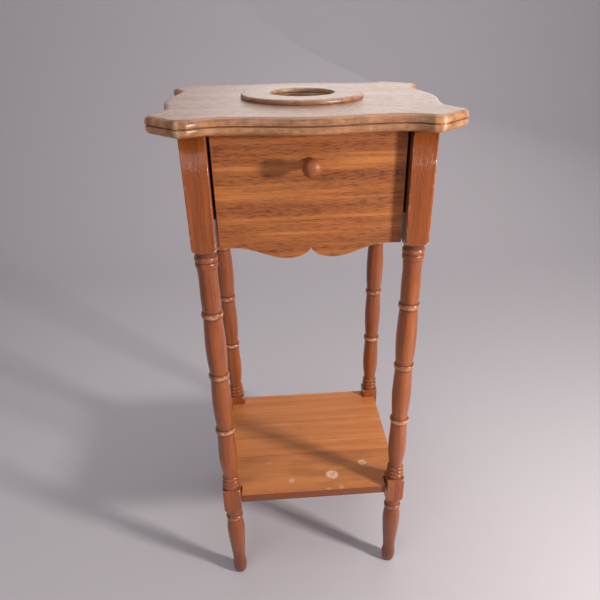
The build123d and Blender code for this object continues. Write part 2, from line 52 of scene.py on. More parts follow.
# ------------------------------------------------------------------ shader maths


class Amount:
    """A number that comes out of a node. The usual signs add Math nodes."""

    def __init__(self, finish, out):
        self.finish, self.out = finish, out

    def _maths(self, operation, *terms):
        made = self.finish.node("ShaderNodeMath", {"operation": operation}, dict(enumerate(terms)))
        return Amount(self.finish, made.outputs[0])

    def __add__(self, other):
        return self._maths("ADD", self, other)

    def __sub__(self, other):
        return self._maths("SUBTRACT", self, other)

    def __rsub__(self, other):
        return self._maths("SUBTRACT", other, self)

    def __mul__(self, other):
        return self._maths("MULTIPLY", self, other)

    __radd__, __rmul__ = __add__, __mul__

    def least(self, other):
        return self._maths("MINIMUM", self, other)

    def most(self, other):
        return self._maths("MAXIMUM", self, other)

    def between(self, low, high):
        """0 under low, 1 over high, and a smooth step from one to the other."""
        settings = {"interpolation_type": "SMOOTHSTEP"}
        sockets = {"Value": self, "From Min": low, "From Max": high}
        made = self.finish.node("ShaderNodeMapRange", settings, sockets)
        return Amount(self.finish, made.outputs["Result"])


class Finish:
    """A material under construction, with one method that makes any node."""

    def __init__(self, name):
        self.material = bpy.data.materials.new(name)
        self.material.use_nodes = True
        self.tree = self.material.node_tree
        self.tree.nodes.clear()
        self.places = {}

    def node(self, kind, settings=None, sockets=None):
        made = self.tree.nodes.new(kind)
        for key, value in (settings or {}).items():
            if key == "stops":
                self._set_stops(made.color_ramp, value)
            else:
                setattr(made, key, value)
        for key, value in (sockets or {}).items():
            self.feed(made.inputs[key], value)
        return made

    def _set_stops(self, ramp, stops):
        while len(ramp.elements) < len(stops):
            ramp.elements.new(0.5)
        for element, (position, colour) in zip(ramp.elements, stops):
            element.position = position
            element.color = (*colour, 1)

    def feed(self, socket, value):
        if isinstance(value, Amount):
            self.tree.links.new(value.out, socket)
        elif isinstance(value, bpy.types.NodeSocket):
            self.tree.links.new(value, socket)
        elif socket.type == "RGBA" and len(value) == 3:
            socket.default_value = (*value, 1)
        else:
            socket.default_value = value

    def place(self, scale=(1, 1, 1), turn=(0, 0, 0), shift=(0, 0, 0)):
        """The point on the piece, in metres, scaled and turned."""
        key = (tuple(scale), tuple(turn), tuple(shift))
        if key not in self.places:
            where = self.node("ShaderNodeTexCoord").outputs["Object"]
            sockets = {"Vector": where, "Scale": scale, "Rotation": turn, "Location": shift}
            self.places[key] = self.node("ShaderNodeMapping", None, sockets).outputs["Vector"]
        return self.places[key]

    def noise(self, place, detail=3.0, rough=0.5, distort=0.0):
        """Even clouds from 0 to 1, as fine as the place's scale makes them."""
        sockets = {"Vector": place, "Scale": 1.0, "Detail": detail, "Roughness": rough}
        sockets["Distortion"] = distort
        return Amount(self, self.node("ShaderNodeTexNoise", None, sockets).outputs["Fac"])

    def parts(self):
        """The point's x, y and z in metres."""
        split = self.node("ShaderNodeSeparateXYZ", None, {0: self.place()})
        return [Amount(self, split.outputs[axis]) for axis in "XYZ"]

    def attribute(self, name):
        return Amount(self, self.node("ShaderNodeAttribute", {"attribute_name": name}).outputs["Fac"])

    def mix(self, share, first, second):
        """Two colours, mixed by share."""
        made = self.node("ShaderNodeMix", {"data_type": "RGBA", "clamp_factor": True})
        self.feed(made.inputs[0], share)
        self.feed(made.inputs[6], first)
        self.feed(made.inputs[7], second)
        return made.outputs[2]

    def ramp(self, share, stops):
        return self.node("ShaderNodeValToRGB", {"stops": stops}, {"Fac": share}).outputs["Color"]

    def bump(self, height, depth, below=None):
        """Relief of that depth in metres, on top of the relief below."""
        sockets = {"Height": height, "Distance": depth, "Strength": 1.0}
        if below is not None:
            sockets["Normal"] = below
        return self.node("ShaderNodeBump", None, sockets).outputs["Normal"]

    def close(self, colour, roughness, normal, metallic=0.0, coat=None, coat_rough=0.2, level=0.5):
        sockets = {"Base Color": colour, "Roughness": roughness, "Metallic": metallic, "Normal": normal}
        sockets["Specular IOR Level"] = level
        sockets["Coat Roughness"] = coat_rough
        if coat is not None:
            sockets["Coat Weight"] = coat
        shader = self.node("ShaderNodeBsdfPrincipled", None, sockets)
        self.node("ShaderNodeOutputMaterial", None, {"Surface": shader.outputs["BSDF"]})
        return self.material


GRAIN = {"X": (1, 9, 9), "Y": (9, 1, 9), "Z": (9, 9, 1)}  # how much finer the figure is across the grain
# a recess's colour: grime and painted shade
RECESS_DIRT_AND_SHADE = (0.075, 0.022, 0.010)
SQUARE_MM = 1e6  # square millimetres in a square metre


def along(axis, fine, length=1.0):
    """A mapping scale for a figure that runs along one axis."""
    return tuple(fine * (length if part == 1 else part) for part in GRAIN[axis])


def wood(name, axis, dark, mid, light, streaks=0.5, pore=0.35, wear_and_highlight_tone=None, dirt_and_shade_tone=RECESS_DIRT_AND_SHADE,
         gloss=0.42, coat=0.2, coat_rough=0.28, wear_and_highlight_amount=0.4, blotch=0.2, level=0.4, extra=None):
    """Varnished wood with its grain along one axis.

    dark, mid and light are the colours of the grain; streaks is how strongly the dark bands show
    and pore how strongly the short open pores do. The crest attribute says where an edge stands
    proud (1) and is painted pale, for scuffing and a painted highlight, and where a recess (-1) is
    darkened, for grime and painted shade. The scale of each figure is how many of its patches come
    in a metre, along the grain.
    """
    f = Finish(name)
    wear_and_highlight_tone = wear_and_highlight_tone or tuple(min(1.0, 1.35 * c + 0.01) for c in light)
    sway = f.noise(f.place(along(axis, 3.0, 0.6)), 2.0)
    bands = f.noise(f.place(along(axis, 13.0, 0.35)), 4.0, 0.6, 0.12)
    lines = f.noise(f.place(along(axis, 60.0, 0.2)), 3.0, 0.6, 0.1)
    dashes = f.noise(f.place(along(axis, 125.0, 0.85)), 2.0, 0.5)
    fibre = f.noise(f.place(along(axis, 420.0, 0.2)), 2.0, 0.6)
    cloud = f.noise(f.place((11, 11, 11)), 3.0, 0.55)
    figure = (bands * 0.66 + sway * 0.34).between(0.37, 0.65)
    tone = figure * 0.55 + lines.between(0.3, 0.72) * 0.45
    colour = f.ramp(tone, [(0.05, dark), (0.5, mid), (0.95, light)])
    banded = (1.0 - figure) * lines.between(0.42, 0.62)
    colour = f.mix(banded * streaks, colour, tuple(0.6 * c for c in dark))
    pores = dashes.between(0.51, 0.60) * (0.12 + 0.88 * (1.0 - figure))
    colour = f.mix(pores * pore, colour, tuple(0.4 * c for c in dark))
    colour = f.mix(cloud.between(0.35, 0.75) * blotch, colour, tuple(0.62 * c for c in mid))
    crest = f.attribute("crest")
    ragged = f.noise(f.place((140, 140, 140)), 4.0, 0.65)
    # pale where the crest stands proud: scuffing and a painted highlight
    wear_and_highlight = (crest.most(0.0) + ragged * 0.9 - 0.45).between(0.35, 0.95) * wear_and_highlight_amount
    colour = f.mix(wear_and_highlight, colour, wear_and_highlight_tone)
    # dark where the crest is recessed: grime and painted shade
    dirt_and_shade = ((crest * -1.0).most(0.0) + ragged * 0.5 - 0.25).between(0.08, 0.75)
    colour = f.mix(dirt_and_shade * 0.7, colour, dirt_and_shade_tone)
    smear = f.noise(f.place((26, 26, 26)), 5.0, 0.7)
    rough = gloss + smear * 0.22 - 0.11 + wear_and_highlight * 0.12 + dirt_and_shade * 0.25 + pores * 0.15
    if extra:
        colour, rough = extra(f, colour, rough)
    dents = f.noise(f.place((38, 38, 38)), 2.0, 0.5)
    relief = f.bump(dents, 0.6 * MM)
    relief = f.bump(lines * 0.6 + fibre * 0.4 - pores * 0.8, 0.2 * MM, relief)
    shine = coat * (1.0 - wear_and_highlight) if coat else None
    rough = rough.most(0.12).least(0.95)
    return f.close(colour, rough, relief, coat=shine, coat_rough=coat_rough, level=level)


def facing_up(f):
    """1 on a level face that looks up, 0 on an upright or a lower one."""
    normal = f.node("ShaderNodeNewGeometry").outputs["Normal"]
    upright = f.node("ShaderNodeSeparateXYZ", None, {0: normal}).outputs["Z"]
    return Amount(f, upright).between(0.55, 0.98)


def steel(name, tint, rust, gloss):
    """Dull old steel with rust in patches."""
    f = Finish(name)
    grain = f.noise(f.place((900, 900, 900)), 3.0, 0.6)
    patch = f.noise(f.place((260, 260, 260)), 5.0, 0.65)
    rusty = patch.between(0.5, 0.68)
    colour = f.mix(grain * 0.5, tint, tuple(0.6 * c for c in tint))
    colour = f.mix(rusty * 0.7, colour, rust)
    rough = gloss + grain * 0.2 + rusty * 0.3
    relief = f.bump(grain + patch, 0.06 * MM)
    return f.close(colour, rough, relief, metallic=1.0 - rusty * 0.8)


def water_marks_and_edge_shade(f, colour, rough):
    """Pale water spots on the shelf, a browner and patchy front board, and painted shade on its edges."""
    level = facing_up(f)
    _, deep, _ = f.parts()
    front = 1.0 - deep.between(SHELF_JOINT - 0.5 * MM, SHELF_JOINT + 0.5 * MM)
    colour = f.mix(front * 0.3, colour, (0.40, 0.155, 0.055))
    brown = f.noise(f.place((7, 30, 7)), 4.0, 0.65).between(0.42, 0.62) * level
    colour = f.mix(brown * (0.1 + front * 0.45), colour, (0.33, 0.115, 0.038))
    # painted shade: faces that don't look up, the shelf's edges, are darkened
    colour = f.mix((1.0 - level) * 0.85, colour, (0.17, 0.045, 0.024))
    ragged = f.noise(f.place((230, 230, 230)), 4.0, 0.7)
    lobes = f.noise(f.place((118, 118, 118), (0, 0, 0.9)), 2.0, 0.5)
    for x, y, size, strength in WATER_MARKS:
        centred = f.place((1, 1, 0.0), (0, 0, 0), (-x * MM, -y * MM, 0))
        length = f.node("ShaderNodeVectorMath", {"operation": "LENGTH"}, {0: centred})
        far = Amount(f, length.outputs["Value"]) * (1 / (size * MM))
        inside = 1.0 - (far + lobes * 0.8 - 0.4).between(0.6, 0.95)
        hollow = 0.6 + 0.4 * (far + ragged * 0.4 - 0.2).between(0.2, 0.55)
        chalky = inside * hollow * ragged.between(0.25, 0.55) * level
        colour = f.mix(chalky * strength, colour, (0.86, 0.62, 0.50))
        rough = rough + chalky * 0.2
    return colour, rough


def top_haze_and_sheen(f, colour, rough):
    """The top's hazy, scuffed varnish and painted sheen: greyer and paler than its edges and back, with
    dark stains.
    """
    flat = 1.0 - f.attribute("crest").most(0.0).between(0.05, 0.5)
    haze = f.noise(f.place((9, 16, 9)), 4.0, 0.6)
    ragged = f.noise(f.place((70, 160, 70)), 5.0, 0.7)
    level = facing_up(f)
    _, deep, _ = f.parts()
    back = (deep + (haze - 0.5) * 0.05).between(HAZE_AND_SHEEN_ENDS, HAZE_AND_SHEEN_ENDS + 40 * MM)
    # haze and painted sheen: the level face, away from its edges and the back, is made paler
    pale = level * (0.55 + 0.45 * flat) * (0.55 + 0.45 * haze.between(0.3, 0.7)) * (1.0 - back * 0.9)
    colour = f.mix(pale * 0.66, colour, (0.62, 0.44, 0.35))
    stain = (haze * 0.5 + ragged * 0.5).between(0.56, 0.70)
    colour = f.mix(stain * (0.25 + 0.1 * level), colour, (0.16, 0.075, 0.04))
    scratch = f.noise(f.place((30, 900, 30), (0, 0, 0.35)), 1.0).between(0.70, 0.76)
    colour = f.mix(scratch * level * 0.4, colour, (0.72, 0.58, 0.50))
    return colour, rough - level * 0.10 + stain * 0.15 + scratch * 0.1


def darker_foot_and_gap_shade(f, colour, rough):
    """Darkens a leg towards its foot, and paints near-black, dull shade on the posts' inner faces behind
    the line of the drawer front.
    """
    across, deep, height = f.parts()
    ragged = f.noise(f.place((60, 60, 60)), 4.0, 0.65)
    foot = 1.0 - (height + (ragged - 0.5) * 0.05).between(12 * MM, 75 * MM)
    lower = 1.0 - height.between(100 * MM, 220 * MM)
    colour = f.mix(foot * 0.45 + lower * 0.2, colour, (0.135, 0.036, 0.020))
    # painted shade: the posts' faces in the gaps beside the drawer front go near-black and dull
    inner = 1.0 - (across * across).between(POST_IN_X ** 2, (POST_IN_X + 0.5 * MM) ** 2)
    behind = 1.0 - (deep * deep).between((FRONT_FACE - 0.5 * MM) ** 2, (FRONT_FACE + 0.5 * MM) ** 2)
    painted_gap_shade = inner * behind * height.between((POST_BOTTOM - 1) * MM, (POST_BOTTOM + 1) * MM)
    return f.mix(painted_gap_shade, colour, (0.02, 0.009, 0.005)), rough + foot * 0.15 + painted_gap_shade * 0.6


def scratched(f, colour, rough):
    """Two short scratches on the drawer front, to the right of the knob."""
    for x, z, lean, reach in DRAWER_SCRATCHES:
        place = f.place((1, 1, 1), (0, math.radians(lean), 0), (-x * MM, 0, -z * MM))
        split = f.node("ShaderNodeSeparateXYZ", None, {0: place})
        length, across = Amount(f, split.outputs["X"]), Amount(f, split.outputs["Z"])
        line = 1.0 - (across * across * SQUARE_MM).between(0.02, 0.16)
        ends = (length * length * SQUARE_MM).between((0.7 * reach) ** 2, reach ** 2)
        colour = f.mix(line * (1.0 - ends) * 0.6, colour, (0.10, 0.03, 0.012))
    return colour, rough


def ring_haze_sheen_and_split(f, colour, rough):
    """The ring's face has the top's haze and painted sheen but browner, and it has a split at its rim."""
    split = f.node("ShaderNodeSeparateXYZ", None, {0: f.place((1, 1, 1), (0, 0, -RING_SPLIT_TURN))})
    outward, across = Amount(f, split.outputs["X"]), Amount(f, split.outputs["Y"])
    jagged = f.noise(f.place((320, 320, 320)), 3.0, 0.6)
    across = across + (jagged - 0.5) * 0.006
    beyond = outward.between(RING_SPLIT_FROM, RING_SPLIT_FROM + 1.5 * MM)
    gap = (1.0 - (across * across * SQUARE_MM).between(0.15, 0.75)) * beyond
    plain = colour
    colour, rough = top_haze_and_sheen(f, colour, rough)
    colour = f.mix(0.15, colour, plain)
    return f.mix(gap * 0.9, colour, (0.02, 0.010, 0.006)), rough


def bare_inside(f, colour, rough):
    """The boards between the legs are varnished outside only."""
    beside, deep, _ = f.parts()
    out_x, out_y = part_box("apron_right")[0].x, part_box("apron_back")[0].y
    far_x = (beside * beside).between((out_x + 0.4 * MM) ** 2, (out_x + 0.9 * MM) ** 2)
    far_y = deep.between(out_y + 0.4 * MM, out_y + 0.9 * MM)
    inside = 1.0 - far_x.most(far_y)
    return f.mix(inside * 0.9, colour, (0.17, 0.09, 0.045)), rough + inside * 0.4


POST_BOTTOM = 500.0  # where a leg's square post begins, in millimetres
POST_IN_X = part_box("leg_front_right")[0].x + 0.93 * MM  # the leg's turning stands proud of its square
FRONT_FACE = -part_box("drawer_front")[0].y
SHELF_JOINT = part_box("shelf_board_front")[1].y
HAZE_AND_SHEEN_ENDS = 85 * MM  # behind this the top has less haze and painted sheen
RING_SPLIT_TURN, RING_SPLIT_FROM = math.radians(-56), 57.5 * MM
DRAWER_SCRATCHES = [(64, 570, 24, 3.0), (69, 568, 52, 3.5)]  # x, z, lean in degrees and half length
WATER_MARKS = [  # x, y and size in millimetres, and how chalky each is
    (27, -83, 9.5, 0.8),
    (-29, -89, 5.5, 0.45),
    (72, -63, 7, 0.65),
    (20, -109, 3, 0.35),
    (37, -108, 4, 0.4),
    (-60, -52, 4, 0.25),
]

# ------------------------------------------------------------------ finishes

# the legs' beads and square edges are painted pale (scuffing and painted highlight), their cuts dark
# (grime and painted shade)
LEG = wood("leg_varnish", "Z", (0.23, 0.052, 0.012), (0.33, 0.082, 0.018), (0.42, 0.116, 0.028),
           streaks=0.15, pore=0.2, wear_and_highlight_tone=(0.84, 0.55, 0.34), gloss=0.30, coat=0.45, coat_rough=0.13,
           wear_and_highlight_amount=0.9, blotch=0.35, extra=darker_foot_and_gap_shade)
PANEL = wood("drawer_front_varnish", "X", (0.28, 0.078, 0.022), (0.41, 0.124, 0.030), (0.56, 0.210, 0.058),
             streaks=0.6, pore=0.9, gloss=0.44, coat=0.10, wear_and_highlight_amount=0.3, blotch=0.12, extra=scratched)
APRON_TONES = (0.20, 0.048, 0.014), (0.34, 0.088, 0.022), (0.45, 0.135, 0.037)
APRON_SIDE = wood("side_board_varnish", "Y", *APRON_TONES, streaks=0.4, pore=0.5, coat=0.0,
                  extra=bare_inside)
APRON_BACK = wood("back_board_varnish", "X", *APRON_TONES, streaks=0.4, pore=0.5, coat=0.0,
                  extra=bare_inside)
SHELF = wood("shelf_varnish", "X", (0.58, 0.190, 0.056), (0.65, 0.23, 0.068), (0.73, 0.285, 0.088),
             streaks=0.06, pore=0.10, gloss=0.46, coat=0.05, wear_and_highlight_amount=0.2, blotch=0.10, level=0.3,
             extra=water_marks_and_edge_shade)
# the top's near-black recess tone is painted shade in its groove
TOP = wood("top_varnish", "X", (0.22, 0.070, 0.024), (0.45, 0.18, 0.064), (0.60, 0.27, 0.10),
           streaks=0.35, pore=0.4, wear_and_highlight_tone=(0.70, 0.44, 0.27), dirt_and_shade_tone=(0.04, 0.013, 0.007), gloss=0.32,
           coat=0.35, wear_and_highlight_amount=0.65, level=0.5, extra=top_haze_and_sheen)
RING = wood("ring_varnish", "X", (0.16, 0.060, 0.028), (0.33, 0.145, 0.072), (0.46, 0.22, 0.12),
            streaks=0.35, pore=0.4, wear_and_highlight_tone=(0.64, 0.40, 0.27), gloss=0.30, coat=0.35, wear_and_highlight_amount=0.6, level=0.5,
            extra=ring_haze_sheen_and_split)
KNOB = wood("knob_varnish", "Y", (0.23, 0.063, 0.016), (0.28, 0.080, 0.021), (0.35, 0.108, 0.031),
            streaks=0.1, pore=0.1, gloss=0.42, coat=0.15, wear_and_highlight_amount=0.3, blotch=0.08)
BARE_TONES = [(0.24, 0.135, 0.065), (0.40, 0.25, 0.13), (0.52, 0.35, 0.19)]


def bare_wood(name, axis, shade=1.0):
    """Unvarnished secondary wood, as inside a carcass or a drawer."""
    dark, mid, light = [tuple(shade * c for c in tone) for tone in BARE_TONES]
    return wood(name, axis, dark, mid, light, streaks=0.3, pore=0.3, gloss=0.72, coat=0.0, wear_and_highlight_amount=0.25,
                blotch=0.35, dirt_and_shade_tone=(0.09, 0.055, 0.03))


BARE = {axis: bare_wood(f"bare_wood_{axis.lower()}", axis) for axis in "XYZ"}
INNER = {axis: bare_wood(f"carcass_wood_{axis.lower()}", axis, 0.72) for axis in "XYZ"}
SCREW_STEEL = steel("screw_steel", (0.42, 0.41, 0.39), (0.16, 0.06, 0.025), 0.34)
NAIL_STEEL = steel("nail_steel", (0.27, 0.26, 0.25), (0.13, 0.05, 0.02), 0.45)

# ------------------------------------------------------------------ mesh making


def set_crest(mesh, values):
    """Says how far each point of a mesh stands proud (1) or lies in a recess (-1)."""
    made = mesh.attributes.new("crest", "FLOAT", "POINT")
    made.data.foreach_set("value", np.asarray(values, np.float32))


def mesh_object(name, points, faces, crest=None):
    """A new object from points and faces, smooth, facing outwards, with its crest values."""
    mesh = bpy.data.meshes.new(name)
    mesh.from_pydata([tuple(p) for p in points], [], faces)
    if crest is not None:
        set_crest(mesh, crest)
    work = bmesh.new()
    work.from_mesh(mesh)
    bmesh.ops.recalc_face_normals(work, faces=work.faces)
    work.to_mesh(mesh)
    work.free()
    mesh.shade_smooth()
    made = bpy.data.objects.new(name, mesh)
    bpy.context.scene.collection.objects.link(made)
    return made


def finish_piece(made, body, material, slot, *nodes):
    """Gives a piece its finish, and says which body it rides on and which nodes it stands for."""
    made.data.materials.clear()
    made.data.materials.append(material)
    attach(made, body)
    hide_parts(*nodes)
    return made


def eased(thick, ease, room):
    """The edge of a board from its underside to its upper side: (inset, height, crest) steps."""
    steps = [(ease + room, 0, 0), (ease + 0.4 * room, 0, 0.08), (ease + 0.12 * room, 0, 0.45)]
    for a in [math.radians(22.5 * k) for k in range(5)]:
        steps.append((ease * (1 - math.sin(a)), ease * (1 - math.cos(a)), 0.7 + 0.3 * math.sin(2 * a)))
    inner = min(0.25 * thick, ease + 1.2 * MM)
    steps += [(0, inner, 0.35), (0, thick / 2, 0.0)]
    upper = [(inset, thick - height, crest) for inset, height, crest in reversed(steps[:-1])]
    return steps + upper


def slab(name, outline, steps, lay, hole=None, rings=10):
    """A board: outline(inset) gives its plan, steps its edge, lay(u, v, w) puts a point in place."""
    loops = [[(u, v, height) for u, v in outline(inset)] for inset, height, _ in steps]
    crests = [crest for _, _, crest in steps]
    if hole:
        loops, crests = with_hole(loops, crests, hole, rings)
    count = len(loops[0])
    points = [lay(*p) for loop in loops for p in loop]
    faces = []
    last = len(loops) if hole else len(loops) - 1
    for row in range(last):
        here, there = row * count, (row + 1) % len(loops) * count
        for i in range(count):
            following = (i + 1) % count
            faces.append((here + i, here + following, there + following, there + i))
    if not hole:
        faces += [tuple(range(count)), tuple(range((len(loops) - 1) * count, len(loops) * count))]
    return mesh_object(name, points, faces, np.repeat(crests, count))


def with_hole(loops, crests, hole, rings):
    """Goes on from the top face inwards, down the round hole and out again under the board."""
    high, low = loops[-1], loops[0]
    ease = 0.8 * MM

    def circle(radius, height):
        shares = [(u / math.hypot(u, v), v / math.hypot(u, v)) for u, v, _ in high]
        return [(radius * u, radius * v, height) for u, v in shares]

    def towards(outer, inner, share):
        return [tuple(a + (b - a) * share for a, b in zip(p, q)) for p, q in zip(outer, inner)]

    top, under = high[0][2], low[0][2]
    rim_high, rim_low = circle(hole + 2 * ease, top), circle(hole + 2 * ease, under)
    inward = [towards(high, rim_high, (k + 1) / rings) for k in range(rings)]
    outward = [towards(rim_low, low, k / rings) for k in range(rings)]
    wall = [circle(hole + ease, top), circle(hole + 0.3 * ease, top - 0.3 * ease)]
    wall += [circle(hole, top - ease), circle(hole, (top + under) / 2), circle(hole, under + ease)]
    wall.append(circle(hole + ease, under))
    # the hole's rim is painted pale: scuffing and a painted highlight
    wall_crests = [0.7, 1.0, 0.6, 0.0, 0.3, 0.3]
    all_crests = crests + [0.0] * rings + wall_crests + [0.0] * rings
    return loops + inward + wall + outward, all_crests


def rounded_corners(corners, radius, count=5):
    """A plan with straight sides whose corners are rounded, drawn in by inset on demand."""
    corners = [Vector(c) for c in corners]
    total = len(corners)

    def outline(inset):
        points = []
        for i, corner in enumerate(corners):
            before = (corner - corners[i - 1]).normalized()
            after = (corners[(i + 1) % total] - corner).normalized()
            turn = before.x * after.y - before.y * after.x
            inward_a, inward_b = Vector((-before.y, before.x)), Vector((-after.y, after.x))
            mitre = (inward_a + inward_b) / (1 + inward_a.dot(inward_b))
            bend = max(radius - inset, 0.1 * MM) if turn > 0 else radius + inset
            centre = corner + mitre * (inset + (bend if turn > 0 else -bend))
            side = -1 if turn > 0 else 1
            for k in range(count):
                spread = inward_a.lerp(inward_b, k / (count - 1)).normalized()
                points.append(tuple(centre + spread * bend * side))
        return points

    return outline


def board_from(node, ease=0.7):
    """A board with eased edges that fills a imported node's box."""
    low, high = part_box(node)
    size = high - low
    thin = min(range(3), key=lambda k: size[k])
    across = [k for k in range(3) if k != thin]
    thick = size[thin]
    u0, v0 = low[across[0]], low[across[1]]
    u1, v1 = high[across[0]], high[across[1]]
    room = min(9 * MM, 0.4 * min(u1 - u0, v1 - v0) - ease * MM)
    outline = rounded_corners([(u0, v0), (u1, v0), (u1, v1), (u0, v1)], ease * MM)

    def lay(u, v, w):
        point = [0, 0, 0]
        point[across[0]], point[across[1]], point[thin] = u, v, low[thin] + w
        return tuple(point)

    return slab(f"{node}_planed", outline, eased(thick, ease * MM, room), lay)


# ------------------------------------------------------------------ top

OUTER_LOW, OUTER_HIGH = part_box("top_board")
EAR_CHAMFER, EAR_LAND = 31 * MM, 10 * MM
RECESS_SIDE, RECESS_FRONT, BOW_SIDE, BOW_FRONT = 12 * MM, 11 * MM, 3.5 * MM, 1 * MM
RECESS_X, RECESS_Y = 80 * MM, 68 * MM
TOP_ROUND, GROOVE_TALL, GROOVE_DEEP = 5 * MM, 1.4 * MM, 1.3 * MM
RUB_AND_HIGHLIGHT_WIDE, FILLED_WIDE = 6 * MM, 7 * MM  # the reach of the scuffing and painted highlight at an ear's corner
HOLE = 35.0  # the radius of the hole through the top and the ring, in millimetres


def flowing(t, start, end, leave, arrive):
    """Where a curve with the given slopes at its ends is, t of the way from start to end."""
    first = (2 * t**3 - 3 * t**2 + 1) * start + (t**3 - 2 * t**2 + t) * leave
    return first + (3 * t**2 - 2 * t**3) * end + (t**3 - t**2) * arrive


def sweep(start, end, leave, arrive, count):
    """Points on a smooth curve that leaves and arrives in the given directions; the end is left out."""
    start, end = np.array(start), np.array(end)
    chord = np.linalg.norm(end - start)
    leave, arrive = (np.array(d) / np.linalg.norm(d) * chord for d in (leave, arrive))
    return list(flowing(np.linspace(0, 1, count, endpoint=False)[:, None], start, end, leave, arrive))


def straight(start, end, count):
    """Evenly spaced points on a line; the end is left out."""
    return [np.array(start) + (np.array(end) - np.array(start)) * k / count for k in range(count)]


def rounded_off(points):
    """Takes the sharpness off a closed outline's corners."""
    return (np.roll(points, 1, 0) + 2 * points + np.roll(points, -1, 0)) / 4


def top_outline(inset):
    """The plan of the top: clipped ears at the corners and a wavy edge between them."""
    half_x, half_y = OUTER_HIGH.x - inset, OUTER_HIGH.y - inset
    slip = inset * math.tan(math.radians(22.5))
    clip_x, clip_y = OUTER_HIGH.x - EAR_CHAMFER - slip, OUTER_HIGH.y - EAR_CHAMFER - slip
    land_x, land_y = clip_x - EAR_LAND + 2 * slip, clip_y - EAR_LAND + 2 * slip
    bow_x, bow_y = half_x - BOW_SIDE, half_y - BOW_FRONT
    deep_x, deep_y = half_x - RECESS_SIDE, half_y - RECESS_FRONT
    quarter = sweep((bow_x, 0), (deep_x, RECESS_Y), (0, 1), (0, 1), 34)
    quarter += sweep((deep_x, RECESS_Y), (half_x, land_y), (0, 1), (1, 1), 22)
    quarter += straight((half_x, land_y), (half_x, clip_y), 7)
    quarter += straight((half_x, clip_y), (clip_x, half_y), 24)
    quarter += straight((clip_x, half_y), (land_x, half_y), 7)
    quarter += sweep((land_x, half_y), (RECESS_X, deep_y), (-1, -1), (-1, 0), 20)
    quarter += sweep((RECESS_X, deep_y), (0, bow_y), (-1, 0), (-1, 0), 40)
    quarter = np.array(quarter + [np.array((0, bow_y))])
    left = quarter[::-1][1:] * (-1, 1)
    upper = np.vstack([quarter, left])
    lower = upper[::-1][1:-1] * (1, -1)
    return rounded_off(np.vstack([upper, lower]))


def top_steps(thick):
    """The top's edge: two rounds with a fine groove between them."""
    half = [(TOP_ROUND + 5 * MM, 0, 0), (TOP_ROUND + 2 * MM, 0, 0.15)]
    for a in [math.radians(15 * k) for k in range(7)]:
        inward, upward = TOP_ROUND * (1 - math.sin(a)), TOP_ROUND * (1 - math.cos(a))
        half.append((inward, upward, 0.2 + 0.35 * math.sin(a)))
    lip = (thick - GROOVE_TALL) / 2
    half += [(0, lip - 0.9 * MM, 0.5), (0.12 * MM, lip - 0.3 * MM, 0.6)]
    # the groove's crest of -1 paints shade into it
    half.append((0.6 * GROOVE_DEEP, lip + 0.1 * GROOVE_TALL, -1.0))
    middle = [(GROOVE_DEEP, thick / 2, -1.0)]
    return half + middle + [(inset, thick - height, crest) for inset, height, crest in reversed(half)]


def ear_corners():
    """The eight upright arrises of the clipped ears, in plan."""
    clip_x, clip_y = OUTER_HIGH.x - EAR_CHAMFER, OUTER_HIGH.y - EAR_CHAMFER
    for side_x in (-1, 1):
        for side_y in (-1, 1):
            yield side_x * OUTER_HIGH.x, side_y * clip_y
            yield side_x * clip_x, side_y * OUTER_HIGH.y


def make_top():
    """The top board, pale on its ears' corners from scuffing and a painted highlight, its groove filled at
    the two front ones.
    """
    thick = OUTER_HIGH.z - OUTER_LOW.z

    def lay(u, v, w):
        return u, v, OUTER_LOW.z + w

    top = slab("top_shaped", top_outline, top_steps(thick), lay, hole=HOLE * MM, rings=14)
    for spot in ear_corners():
        rub_and_highlight_corner(top, spot)
    for side in (-1, 1):
        wear_groove(top, (side * (OUTER_HIGH.x - EAR_CHAMFER), -OUTER_HIGH.y))
    finish_piece(top, "frame", TOP, "top_wood", "top_board")


def points_near(top, spot, reach):
    """The points within reach of an upright line, each with a share that is 1 on the line."""
    for index, vertex in enumerate(top.data.vertices):
        share = 1 - (math.hypot(vertex.co.x - spot[0], vertex.co.y - spot[1]) / reach) ** 2
        if share > 0:
            yield index, vertex, share


def rub_and_highlight_corner(top, spot):
    """Marks an upright corner of the edge pale: scuffing and a painted highlight."""
    crest = top.data.attributes["crest"].data
    for index, _, share in points_near(top, spot, RUB_AND_HIGHLIGHT_WIDE):
        if crest[index].value > 0:
            crest[index].value = max(crest[index].value, 0.95 * share)


def wear_groove(top, spot):
    """Fills the groove at a scuffed corner, as varnish and rubbing have on the old top, and lifts its
    painted shade there.
    """
    middle = (OUTER_HIGH.z + OUTER_LOW.z) / 2
    crest = top.data.attributes["crest"].data
    for index, vertex, share in points_near(top, spot, FILLED_WIDE):
        if abs(vertex.co.z - middle) > GROOVE_TALL / 2 or crest[index].value > -0.3:
            continue
        outward = Vector((vertex.co.x, vertex.co.y, 0)).normalized()
        vertex.co += outward * GROOVE_DEEP * 0.7 * share
        crest[index].value += 1.2 * share


# ------------------------------------------------------------------ turned pieces, by geometry nodes


